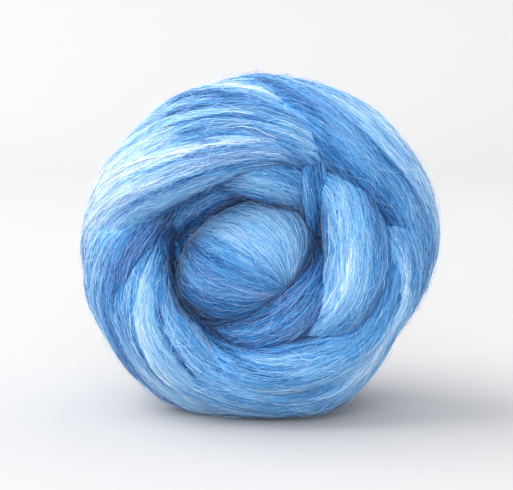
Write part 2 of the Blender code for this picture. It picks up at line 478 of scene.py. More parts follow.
class SmoothNoise:
    """Smooth random values over a strand: round it and along it, the same each run."""

    def __init__(self, seed: int, cells: int, length: float) -> None:
        """Draws the values.

        Args:
            seed: Seed of the draw.
            cells: Number of cells round the strand.
            length: Length of a cell along the strand, in millimetres.
        """
        self.length = length
        self.values = np.random.default_rng(seed).uniform(-1, 1, (NOISE_ROWS, cells))

    def at(self, angle: np.ndarray, along: np.ndarray) -> np.ndarray:
        """Reads the noise, from -1 to 1."""
        column = round_share(angle) * self.values.shape[1]
        return between_cells(self.values, along / self.length, column, gentle=True)


@dataclass
class Turn:
    """One strand of the winding, with the locks and streaks combed along it.

    Lengths are in millimetres and lightness is in the units of Tint.
    """

    name: str
    seed: int
    sections: Sequence[Section] = ()
    streaks: Sequence[Streak] = ()
    # The melange: its lightness and share of violet fibres, and how far these vary.
    tone: float = 0.0
    violet: float = 0.0
    melange_range: float = 0.7
    sliver_range: float = 0.65
    grey_floor: float = 0.55
    grey_range: float = 0.3
    most_violet: float = 0.6
    # Streaks: how fast their ends fade, how far round they reach, and the violet in a violet one.
    streak_fade: float = 2.8
    streak_edge: float = -0.3
    streak_violet: float = 0.55
    # Painted shade taken off the lightness: at tucked ends, in partings, and in gaps between turns.
    tuck: float = 1.2
    tuck_length: float = 20.0
    parting_shade: float = 1.1
    shadow: float = 2.2
    gap: float = 1.5
    # The combed material's tone for a lightness of 0, and for each 1 more.
    tone_base: float = -0.65
    tone_step: float = 0.2
    # Relief: twist in radians a millimetre, a scale for the whole, and the parts of it.
    twist: float = 0.012
    lock_height: float = 0.8
    lock_rise: float = 0.9
    ridge_rise: float = 0.3
    parting_depth: float = 0.6
    smooth_end: float = 12.0
    # Partings: their width in the noise of the locks, and how much of its length one runs on.
    parting_width: float = 0.13
    parting_gain: float = 2.0
    parting_base: float = 0.6
    # Sizes of a cell of the strand's surface, and the least numbers of them.
    cell_across: float = 0.9
    cell_along: float = 3.0
    least_columns: int = 12
    least_rows: int = 8
    length: float = field(init=False)
    places: np.ndarray = field(init=False, repr=False)
    courses: np.ndarray = field(init=False, repr=False)
    grains: dict[Grain, SmoothNoise] = field(init=False, repr=False)

    def __post_init__(self) -> None:
        """Works out the strand's course and its patterns."""
        self._lay_course(*self._stations())
        self.grains = {}
        for grain in Grain:
            step, cells, length = grain.value
            self.grains[grain] = SmoothNoise(self.seed + step, cells, length)

    def _stations(self, steps: int = 16) -> tuple[np.ndarray, np.ndarray]:
        """Blends the sections into closely spaced stations.

        Args:
            steps: Number of stations from one section to the next.

        Returns:
            One row a station: its middle, normal, half width and half thickness, and its clock.
        """
        rows = []
        turned, last_clock = 0.0, self.sections[0].clock
        front = np.array((0, -1, 0))
        for section in self.sections:
            clock, lean = math.radians(section.clock), math.radians(section.lean)
            outward = np.array((math.sin(clock), 0, math.cos(clock)))
            middle = outward * section.radius + front * section.forward
            normal = outward * math.sin(lean) + front * math.cos(lean)
            # The clock runs on past a full turn, the short way from section to section.
            turned += (section.clock - last_clock + 540) % 360 - 180
            last_clock = section.clock
            sizes = (section.half_width, section.half_thickness)
            rows.append((*middle, *normal, *sizes, self.sections[0].clock + turned))
        table = np.array([rows[0], *rows, rows[-1]])
        share = np.arange(steps)[:, None] / steps
        dense = []
        for start in range(1, len(table) - 2):
            before, here, after, beyond = table[start - 1 : start + 3]
            straight = (after - before) * share
            curved = (2 * before - 5 * here + 4 * after - beyond) * share**2
            twisted = (3 * here - before - 3 * after + beyond) * share**3
            dense.append(0.5 * (2 * here + straight + curved + twisted))
        stations = np.concatenate((*dense, table[-1:]))
        return stations[:, :8], stations[:, 8]

    def _lay_course(self, stations: np.ndarray, clocks: np.ndarray) -> None:
        """Keeps the course as columns: middle, normal, sideways, half sizes and clock.

        Args:
            stations: One row a station: its middle, normal, half width and half thickness.
            clocks: The stations' clock values.
        """
        middle = stations[:, :3]
        steps = np.linalg.norm(np.diff(middle, axis=0), axis=1)
        self.places = np.concatenate(([0], np.cumsum(steps)))
        self.length = float(self.places[-1])
        along = unit(np.gradient(middle, axis=0))
        normal = stations[:, 3:6]
        normal = unit(normal - along * np.sum(normal * along, axis=1, keepdims=True))
        sideways = np.cross(along, normal)
        self.courses = np.column_stack((middle, normal, sideways, stations[:, 6:8], clocks))

    @property
    def inner_side(self) -> float:
        """1 where the strand's first side is its inner one, and -1 where it is the outer one."""
        return 1.0 if self.courses[-1, 11] > self.courses[0, 11] else -1.0

    @property
    def girth(self) -> float:
        """Length round the strand, from the mean of its half sizes."""
        return math.tau * float(np.sqrt((self.courses[:, 9:11] ** 2).mean()))

    @property
    def columns(self) -> int:
        """Number of cells round the strand at its thickest."""
        girth = math.tau * math.sqrt((self.courses[:, 9:11].max(axis=0) ** 2).mean())
        return max(self.least_columns, round(girth / self.cell_across))

    @property
    def rows(self) -> int:
        """Number of cells along the strand."""
        return max(self.least_rows, round(self.length / self.cell_along))

    def course(self, along: np.ndarray) -> np.ndarray:
        """Reads the course at places along the strand, one more axis for its columns."""
        columns = [np.interp(along, self.places, column) for column in self.courses.T]
        return np.stack(columns, axis=-1)

    def from_end(self, along: np.ndarray, reach: float) -> np.ndarray:
        """How far from an end places lie, as a share of reach, up to 1."""
        return np.clip(np.minimum(along, self.length - along) / reach, 0, 1)

    def parting(self, turned: np.ndarray, along: np.ndarray) -> np.ndarray:
        """How deep in a parting between two locks a place lies.

        Args:
            turned: Angles round the strand, with its twist.
            along: Places along it.

        Returns:
            Values from 0, outside, to 1, in its middle.
        """
        locks = np.abs(self.grains[Grain.LOCKS].at(turned, along))
        line = np.clip(1 - locks / self.parting_width, 0, 1)
        runs_on = self.grains[Grain.PARTINGS].at(turned, along) * self.parting_gain
        return line * np.clip(runs_on + self.parting_base, 0, 1)

    def relief(self, angle: np.ndarray, along: np.ndarray) -> np.ndarray:
        """How far the locks stand out over the plain strand, in millimetres.

        Args:
            angle: Angles round the strand.
            along: Places along it.

        Returns:
            The heights.
        """
        turned = angle + self.twist * along
        locks = np.abs(self.grains[Grain.LOCKS].at(turned, along)) * self.lock_rise
        height = locks + self.grains[Grain.RIDGES].at(turned, along) * self.ridge_rise
        height = height - self.parting(turned, along) * self.parting_depth
        return height * self.lock_height * self.from_end(along, self.smooth_end)

    def place(
        self, angle: np.ndarray, along: np.ndarray, lift: np.ndarray | float
    ) -> tuple[np.ndarray, np.ndarray]:
        """Finds points on or over the strand.

        Args:
            angle: Angles round the strand.
            along: Places along it.
            lift: Heights over its surface.

        Returns:
            Points in millimetres about the origin, and the outward directions there.
        """
        course = self.course(along)
        middle, normal, sideways = course[..., :3], course[..., 3:6], course[..., 6:9]
        width, thickness = course[..., 9:10], course[..., 10:11]
        across, up = np.cos(angle)[..., None], np.sin(angle)[..., None]
        out = unit(sideways * (across / width) + normal * (up / thickness))
        rise = np.asarray(self.relief(angle, along) + lift)[..., None]
        point = middle + sideways * (across * width) + normal * (up * thickness) + out * rise
        return point + np.array(AXIS), out

    def _weight(
        self, streak: Streak, clock: np.ndarray, across: np.ndarray, facing: np.ndarray
    ) -> np.ndarray:
        """How strongly a streak tints places.

        Args:
            streak: The streak.
            clock: The places' clock values.
            across: Where they lie between the inner edge, -1, and the outer one, 1.
            facing: How far they face outwards, from -1 to 1.

        Returns:
            Values from 0 to 1.
        """
        share = (clock - streak.start) / (streak.end - streak.start)
        middle = streak.across + streak.drift * np.clip(share, 0, 1)
        inside = np.clip(np.minimum(share, 1 - share) * self.streak_fade, 0, 1)
        inside = eased(inside) * (facing > self.streak_edge)
        return np.exp(-(((across - middle) / streak.width) ** 2)) * inside

    def tint(self, angle: np.ndarray, along: np.ndarray) -> tuple[np.ndarray, np.ndarray]:
        """Reads the melange: how light the fibres are, and how many are violet.

        The lightness holds painted shade in partings and at tucked ends.

        Args:
            angle: Angles round the strand.
            along: Places along it.

        Returns:
            The lightness, from about -1.5 to 2, and the share of violet fibres.
        """
        turned = angle + self.twist * along
        light = self.tone + self.grains[Grain.MELANGE].at(turned, along) * self.melange_range
        light = light + self.grains[Grain.SLIVERS].at(turned, along) * self.sliver_range
        grey = np.clip(self.grains[Grain.GREY].at(turned, along) - self.grey_floor, 0, 1)
        violet = self.violet + grey * self.grey_range
        clock = np.interp(along, self.places, self.courses[:, 11])
        across = -np.cos(angle) * self.inner_side
        for streak in self.streaks:
            weight = self._weight(streak, clock, across, np.sin(angle))
            if streak.tint is Tint.VIOLET:
                violet = violet + weight * self.streak_violet
            else:
                light = light * (1 - weight) + streak.tint.value * weight
        # Painted shade in the partings and at the tucked ends, which go under other turns.
        light = light - self.parting(turned, along) * self.parting_shade
        light = light - (1 - self.from_end(along, self.tuck_length)) * self.tuck
        return light, np.clip(violet, 0, self.most_violet)

    def build(self, finish: bpy.types.Material) -> bpy.types.Object:
        """Builds the strand's own surface.

        Args:
            finish: The combed wool's material.

        Returns:
            The strand as a closed mesh object.
        """
        columns, girth = self.columns, self.girth
        model = bmesh.new()
        combing = model.loops.layers.uv.new("Combing")
        bake = model.loops.layers.uv.new("OFBake")
        bmesh.ops.create_grid(model, x_segments=columns, y_segments=self.rows, size=0.5)
        model.verts.ensure_lookup_table()
        plain = np.array([vert.co for vert in model.verts]) + 0.5
        angle, along = plain[:, 0] * math.tau, plain[:, 1] * self.length
        points, _ = self.place(angle, along, 0.0)
        points[:, 2] = np.maximum(points[:, 2], FLOOR_CLEARANCE)
        for face in model.faces:
            for loop in face.loops:
                x, y = loop.vert.co.x + 0.5, loop.vert.co.y + 0.5
                loop[bake].uv = (x, y)
                loop[combing].uv = (x * girth, y * self.length)
        for vert, point in zip(model.verts, points):
            vert.co = point * MM
        layers = (model.verts.layers.float.new("angle"), model.verts.layers.float.new("along"))
        for vert, values in zip(model.verts, zip(angle, along)):
            for layer, value in zip(layers, values):
                vert[layer] = value
        bmesh.ops.remove_doubles(model, verts=model.verts, dist=1e-6)
        rims = [edge for edge in model.edges if edge.is_boundary]
        bmesh.ops.holes_fill(model, edges=rims, sides=columns)
        bmesh.ops.recalc_face_normals(model, faces=model.faces)
        return finished(model, self.name, finish)

    def paint(self, piece: bpy.types.Object, shown: "Shown") -> None:
        """Writes the melange on the strand's surface as its "tone", with painted shade in the
        creases.

        Args:
            piece: The strand's piece.
            shown: Which of its cells show.
        """
        mesh = piece.data
        angle, along = np.empty(len(mesh.vertices)), np.empty(len(mesh.vertices))
        for name, values in (("angle", angle), ("along", along)):
            mesh.attributes[name].data.foreach_get("value", values)
        light, _ = self.tint(angle, along)
        # Painted shade: darker where little sky reaches, in creases and gaps between turns.
        light = light - self.shadow * shown.shade(self, angle, along)
        write_tones(mesh, self.tone_step * light + self.tone_base)
        for name in ("angle", "along"):
            mesh.attributes.remove(mesh.attributes[name])


@dataclass
class Heart(Turn):
    """The small ball in the middle: its fibres run like longitudes from one pole to the other.

    The poles are drawn round towards the side that shows, so that the fibres fan out there.
    """

    twist: float = 0.004
    lock_height: float = 0.4
    tuck: float = 0.0
    shadow: float = 0.5
    gap: float = 4.0
    # The ball's middle, half sizes and tilt about the nest's axis, in degrees.
    centre: tuple[float, float, float] = (-4.8, -18.5, -6.0)
    radii: tuple[float, float, float] = (26.4, 22.5, 20.4)
    tilt: float = -36.0
    # Which way the middle of the side that shows looks, and how far the poles are drawn to it.
    facing: tuple[float, float, float] = (-0.45, -0.88, 0.12)
    draw: float = 0.25
    # How far the last pole dips under the level, in degrees, and the radians left out at each.
    pole_dip: float = 28.0
    pole_gap: float = 0.02
    # Half length, width and thickness of the upright ball that the patterns are laid out on.
    upright: tuple[float, float, float] = (26.0, 23.4, 22.5)
    shape: np.ndarray = field(init=False, repr=False)
    face: np.ndarray = field(init=False, repr=False)
    pole: np.ndarray = field(init=False, repr=False)
    side: np.ndarray = field(init=False, repr=False)

    def __post_init__(self) -> None:
        """Works out the ball's shape and the frame that its fibres run in."""
        super().__post_init__()
        tilt, dip = math.radians(self.tilt), math.radians(self.pole_dip)
        axes = np.array(
            ((math.cos(tilt), 0, -math.sin(tilt)), (0, 1, 0), (math.sin(tilt), 0, math.cos(tilt)))
        )
        self.shape = axes.T @ np.diag(self.radii) @ axes
        self.face = unit(np.array(self.facing))
        pole = np.array((math.cos(dip), 0, -math.sin(dip)))
        self.pole = unit(pole - self.face * (pole @ self.face))
        self.side = np.cross(self.pole, self.face)

    def _stations(self, steps: int = 48) -> tuple[np.ndarray, np.ndarray]:
        """Lays stations from pole to pole of an upright ball of the same girth.

        Args:
            steps: Number of stations.

        Returns:
            One row a station: its middle, normal, half width and half thickness, and its clock.
        """
        half_length, *half_sizes = self.upright
        polar = np.linspace(self.pole_gap, math.pi - self.pole_gap, steps)[:, None]
        middle = np.array((half_length, 0, 0)) * -np.cos(polar)
        normal = np.tile((0.0, -1.0, 0.0), (steps, 1))
        sizes = np.sin(polar) * np.array(half_sizes)
        return np.hstack((middle, normal, sizes)), np.linspace(0, 180, steps)

    def place(
        self, angle: np.ndarray, along: np.ndarray, lift: np.ndarray | float
    ) -> tuple[np.ndarray, np.ndarray]:
        """Finds points on or over the ball.

        Args:
            angle: Angles round its poles.
            along: Places from pole to pole.
            lift: Heights over its surface.

        Returns:
            Points in millimetres about the origin, and the outward directions there.
        """
        ends = (self.pole_gap, math.pi - self.pole_gap)
        polar = np.interp(along, (0, self.length), ends)[..., None]
        across, up = np.cos(angle)[..., None], np.sin(angle)[..., None]
        spot = (across * self.side + up * self.face) * np.sin(polar) - self.pole * np.cos(polar)
        # The draw slides spots over the ball towards its face and keeps circles round.
        facing = (spot @ self.face)[..., None]
        stretch = 1 / math.sqrt(1 - self.draw**2)
        spot = spot + self.face * ((stretch - 1) * facing + stretch * self.draw)
        spot = spot / (stretch * (1 + self.draw * facing))
        out = unit(spot @ np.linalg.inv(self.shape))
        rise = np.asarray(self.relief(angle, along) + lift)[..., None]
        return np.array(self.centre) + spot @ self.shape + out * rise + np.array(AXIS), out


def write_tones(mesh: bpy.types.Mesh, tones: np.ndarray) -> None:
    """Writes the "tone" attribute that the wool materials read, one value a point."""
    tone = mesh.attributes.new("tone", "FLOAT", "POINT")
    tone.data.foreach_set("value", tones.astype(np.float32))


def finished(model: bmesh.types.BMesh, name: str, finish: bpy.types.Material) -> bpy.types.Object:
    """Turns a bmesh into a piece of the ball.

    Args:
        model: The bmesh, freed here.
        name: The piece's name.
        finish: Its material.

    Returns:
        The object, riding on the ball's body.
    """
    mesh = bpy.data.meshes.new(name)
    model.to_mesh(mesh)
    model.free()
    return as_piece(mesh, name, finish)


def as_piece(mesh: bpy.types.Mesh, name: str, finish: bpy.types.Material) -> bpy.types.Object:
    """Puts a mesh in the scene as a piece of the ball.

    Args:
        mesh: The mesh, in metres.
        name: The piece's name.
        finish: Its material.

    Returns:
        The object.
    """
    mesh.materials.append(finish)
    mesh.shade_smooth()
    piece = bpy.data.objects.new(name, mesh)
    bpy.context.scene.collection.objects.link(piece)
    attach(piece, "root")
    return piece


class Stretch(NamedTuple):
    """Where fibres lie on a turn, one value a fibre."""

    angle: np.ndarray
    start: np.ndarray
    length: np.ndarray
    bend: np.ndarray
    reach: np.ndarray


class Fibres(NamedTuple):
    """Fibres laid on one turn: one row a fibre, and one column a point of it."""

    points: np.ndarray
    out: np.ndarray
    along: np.ndarray
    bake: np.ndarray
    # Lightness, with painted shade taken off in creases, gaps, partings and at tucked ends.
    light: np.ndarray
    violet: np.ndarray


def joined(parts: Sequence[Fibres]) -> Fibres:
    """One set of fibres from several."""
    return Fibres(*(np.concatenate(columns) for columns in zip(*parts)))


def chosen(rows: Stretch | Fibres, places: np.ndarray) -> Stretch | Fibres:
    """The rows at these places only."""
    return type(rows)(*(column[places] for column in rows))


@dataclass(frozen=True)
class Coat:
    """A coat of fibres over the faces of the turns that show.

    A fibre follows its turn at a small angle, waves a little with its crimp, rises out of the
    surface and sinks back, and stops where another turn covers it. Lengths are in millimetres,
    and a pair is a least and a most. Real fibres are some 0.02 mm thick, too fine to show, so
    these are four to ten times as thick, and fewer.
    """

    name: str
    seed: int
    per_area: float
    length: tuple[float, float]
    width: float
    # Slope off the turn's course, and the share of strays with a slope of their own.
    slope: float
    stray: float
    stray_slope: float
    crimp: tuple[float, float]
    crimp_length: tuple[float, float]
    # Height of a fibre's bow, and the most that it arches over that, at a place of its own.
    height: tuple[float, float]
    arch: float
    arch_waves: float = 0.9
    # Spread of the ribbon's roll about its course, in radians, and the cells along it.
    roll: float = 0.6
    steps: int = 4
    # A long wave over the crimp, and a ripple up and down, each with its length in crimps.
    sway: tuple[float, float] = (0.1, 0.9)
    sway_crimps: float = 3.7
    ripple: float = 0.12
    ripple_crimps: float = 1.6
    # How deep a fibre lies in the surface, and the share of its lift that it keeps in a crease.
    sink: float = 0.12
    crease_lift: float = 0.25
    # A fibre is left out when less than this share of the shortest length shows.
    least_shown: float = 0.4
    probes: int = 25
    # A ribbon's width varies by spread, and it narrows towards its ends, down to blunt.
    spread: tuple[float, float] = (0.7, 1.3)
    taper: float = 4.0
    blunt: float = 0.25
    # A fibre's tone: drawn from a range, and moved by the turn's lightness within limits. That
    # lightness holds painted shade, and fibres darker than deep_from, mostly in creases, get
    # darker.
    tones: tuple[float, float] = (-0.45, 0.25)
    follow: float = 0.3
    follow_limits: tuple[float, float] = (-2.5, 1.5)
    deep_from: float = -1.6
    deep_follow: float = 0.4
    deep_limit: float = 1.5
    # Each fibre reads its own place of the dye's noise, up to this far along.
    dye_offset: float = 900.0

    def lay(self, turn: Turn, tile: int, shown: "Shown") -> Fibres:
        """Lays the fibres of one turn.

        Args:
            turn: The turn.
            tile: The turn's place in the bake layout.
            shown: Which of its cells show.

        Returns:
            The fibres.
        """
        draw = np.random.default_rng(self.seed + turn.seed)
        stretch, ends = self._trimmed(self._sown(draw, turn, shown), turn, shown)
        angle, start, length, bend, reach = (column[:, None] for column in stretch)
        step = np.linspace(0, 1, self.steps + 1)
        offset = (ends[:, :1] + (ends[:, 1:] - ends[:, :1]) * step) * length
        along = np.clip(start + offset, 0, turn.length)
        wave = draw.uniform(*self.crimp_length, angle.shape)
        phase = draw.uniform(0, math.tau, (3, *angle.shape))
        turns_on = math.tau * offset
        swing = draw.uniform(*self.crimp, angle.shape) * np.sin(turns_on / wave + phase[0])
        sway = np.sin(turns_on / (wave * self.sway_crimps) + phase[1])
        swing = swing + draw.uniform(*self.sway, angle.shape) * sway
        turned = angle + bend * offset + swing / reach
        rise = draw.uniform(*self.height, angle.shape)
        bow = np.sin(math.pi * step)
        arch = self.arch * draw.random(angle.shape) ** 2 * bow
        lift = rise * bow**0.5
        lift = lift + arch * np.abs(np.sin(math.pi * step * self.arch_waves + phase[2]))
        ripple = np.sin(turns_on / (wave * self.ripple_crimps) + phase[2])
        lift = lift + self.ripple * ripple
        free = self.crease_lift + (1 - self.crease_lift) * shown.openness(turn, turned, along)
        points, out = turn.place(turned, along, lift * free - self.sink)
        points[..., 2] = np.maximum(points[..., 2], FLOOR_CLEARANCE)
        light, violet = turn.tint(stretch.angle, stretch.start)
        middle = self.steps // 2
        # Painted shade, as on the strand under the fibres.
        light = light - turn.shadow * shown.shade(turn, turned[:, middle], along[:, middle])
        bake = self._bake_places(turned, along / turn.length, tile)
        return Fibres(points, out, offset, bake, light, violet)

    def _sown(self, draw: np.random.Generator, turn: Turn, shown: "Shown") -> Stretch:
        """Draws where the fibres of a turn lie, over the cells that show.

        Args:
            draw: The source of random values.
            turn: The turn.
            shown: Which of its cells show.

        Returns:
            The fibres' places, before anything is cut off them.
        """
        cells = shown.cells[turn.name].area
        count = int(cells.sum() * self.per_area)
        picked = draw.choice(cells.size, size=count, p=(cells / cells.sum()).ravel())
        rows, columns = cells.shape
        angle = (picked % columns + draw.random(count)) / columns * math.tau
        start = (picked // columns + draw.random(count)) / rows * turn.length
        length = draw.uniform(*self.length, count)
        slope = draw.normal(0, self.slope, count)
        strays = draw.random(count) < self.stray
        slope[strays] = draw.normal(0, self.stray_slope, int(strays.sum()))
        course = turn.course(start)
        reach = np.hypot(course[:, 9] * np.sin(angle), course[:, 10] * np.cos(angle))
        return Stretch(angle, start, length, slope / reach, reach)

    def _trimmed(self, sown: Stretch, turn: Turn, shown: "Shown") -> tuple[Stretch, np.ndarray]:
        """Keeps the part of each fibre that shows, found by probes outwards from its middle.

        Args:
            sown: The fibres' places.
            turn: The turn.
            shown: Which of its cells show.

        Returns:
            The places of the fibres that are kept, and where each starts and ends, as shares of
            its length from its middle.
        """
        share = np.linspace(-0.5, 0.5, self.probes)
        offset = share * sown.length[:, None]
        probe_angle = sown.angle[:, None] + sown.bend[:, None] * share * sown.length[:, None]
        open_here = shown.at(turn, probe_angle, sown.start[:, None] + offset)
        centre = self.probes // 2
        after = np.cumprod(open_here[:, centre:], axis=1).sum(axis=1)
        before = np.cumprod(open_here[:, centre::-1], axis=1).sum(axis=1)
        reached = np.stack((centre - before, centre + after), axis=-1)
        ends = share[np.clip(reached, 0, self.probes - 1)]
        shows = (ends[:, 1] - ends[:, 0]) * sown.length
        kept = (after > 0) & (shows > self.length[0] * self.least_shown)
        return chosen(sown, kept), ends[kept]

    @staticmethod
    def _bake_places(turned: np.ndarray, share: np.ndarray, tile: int) -> np.ndarray:
        """Finds the fibres' places in the bake layout.

        Args:
            turned: Angles round the turn.
            share: Places along it, as shares of its length.
            tile: The turn's tile.

        Returns:
            Places in the layout, with a last axis of 2.
        """
        bake = np.stack((round_share(turned), share), axis=-1)
        # A fibre that crosses the turn's seam stays at the side of the tile where it starts.
        apart = turned - turned[:, :1]
        apart = (apart + math.pi) % math.tau - math.pi
        bake[..., 0] = bake[:, :1, 0] + apart / math.tau
        row, column = divmod(tile, TILES)
        return (np.clip(bake, TILE_MARGIN, 1 - TILE_MARGIN) + (column, row)) / TILES

    def ribbons(self, fibres: Fibres, name: str, finish: bpy.types.Material) -> bpy.types.Object:
        """Makes fibres into one piece of thin ribbons.

        Args:
            fibres: The fibres.
            name: The piece's name.
            finish: Its material.

        Returns:
            The piece.
        """
        sides, steps, faces = ribbon_pattern(self.steps)
        draw = np.random.default_rng(self.seed + RIBBON_STEP)
        count = len(fibres.points)
        tangent = unit(np.gradient(fibres.points, axis=1), 1e-12)
        across = unit(np.cross(tangent, fibres.out), 1e-12)
        roll = draw.normal(0, self.roll, (count, 1, 1))
        across = across * np.cos(roll) + np.cross(tangent, across) * np.sin(roll)
        narrow = np.sin(math.pi * np.linspace(0, 1, self.steps + 1)) * self.taper
        width = self.width * draw.uniform(*self.spread, (count, 1))
        half = across * (width * np.clip(narrow, self.blunt, 1) / 2)[..., None]
        points = fibres.points[:, steps] + half[:, steps] * sides[:, None]
        points[..., 2] = np.maximum(points[..., 2], FLOOR_CLEARANCE)
        mesh, corners = repeated_mesh(name, points * MM, faces)
        own = np.stack(np.broadcast_arrays(sides * 0.5 + 0.5, fibres.along[:, steps]), axis=-1)
        own = own + draw.uniform(0, self.dye_offset, (count, 1, 2)) * (0, 1)
        laid = fibres.bake[:, steps]
        laid[..., 0] += sides * BAKED_WIDTH / 2
        for layer, places in (("Fibre", own), ("OFBake", laid)):
            values = places.reshape(-1, 2)[corners].astype(np.float32)
            mesh.uv_layers.new(name=layer).data.foreach_set("uv", values.ravel())
        tones = draw.uniform(*self.tones, count)
        tones = tones + self.follow * np.clip(fibres.light, *self.follow_limits)
        # Painted shade: fibres in the darkest places, mostly creases, go darker still.
        deeper = np.clip(self.deep_from - fibres.light, 0, self.deep_limit)
        write_tones(mesh, np.repeat(tones - self.deep_follow * deeper, len(sides)))
        mesh.update(calc_edges=True)
        mesh.validate()
        return as_piece(mesh, name, finish)


def ribbon_pattern(steps: int) -> tuple[np.ndarray, np.ndarray, np.ndarray]:
    """Reads the pattern of a ribbon from a grid one cell wide.

    Args:
        steps: Number of cells along it.

    Returns:
        Each point's side (-1 or 1), its step along, and the corners of each face.
    """
    model = bmesh.new()
    bmesh.ops.create_grid(model, x_segments=1, y_segments=steps, size=0.5)
    model.verts.ensure_lookup_table()
    plain = np.array([vert.co for vert in model.verts])
    faces = np.array([[vert.index for vert in face.verts] for face in model.faces])
    model.free()
    return np.sign(plain[:, 0]), np.round((plain[:, 1] + 0.5) * steps).astype(int), faces


def repeated_mesh(
    name: str, points: np.ndarray, faces: np.ndarray
) -> tuple[bpy.types.Mesh, np.ndarray]:
    """Makes a mesh of one pattern of four-cornered faces, repeated over sets of points.

    Args:
        name: The mesh's name.
        points: The points in metres, one row a repeat.
        faces: The pattern's faces, each as the places of its corners in a row.

    Returns:
        The mesh, and the point of each of its corners.
    """
    count, each = points.shape[:2]
    total, sides = count * len(faces), faces.shape[1]
    corners = (faces[None] + (np.arange(count) * each)[:, None, None]).reshape(-1)
    mesh = bpy.data.meshes.new(name)
    mesh.vertices.add(count * each)
    mesh.vertices.foreach_set("co", points.astype(np.float32).ravel())
    mesh.loops.add(len(corners))
    mesh.loops.foreach_set("vertex_index", corners.astype(np.int32))
    mesh.polygons.add(total)
    starts = np.arange(0, total * sides, sides, dtype=np.int32)
    mesh.polygons.foreach_set("loop_start", starts)
    mesh.polygons.foreach_set("loop_total", np.full(total, sides, dtype=np.int32))
    return mesh, corners


class Cells(NamedTuple):
    """What is known of a turn's cells, one row a ring of them."""

    open: np.ndarray
    area: np.ndarray
    soft: np.ndarray
    sky: np.ndarray


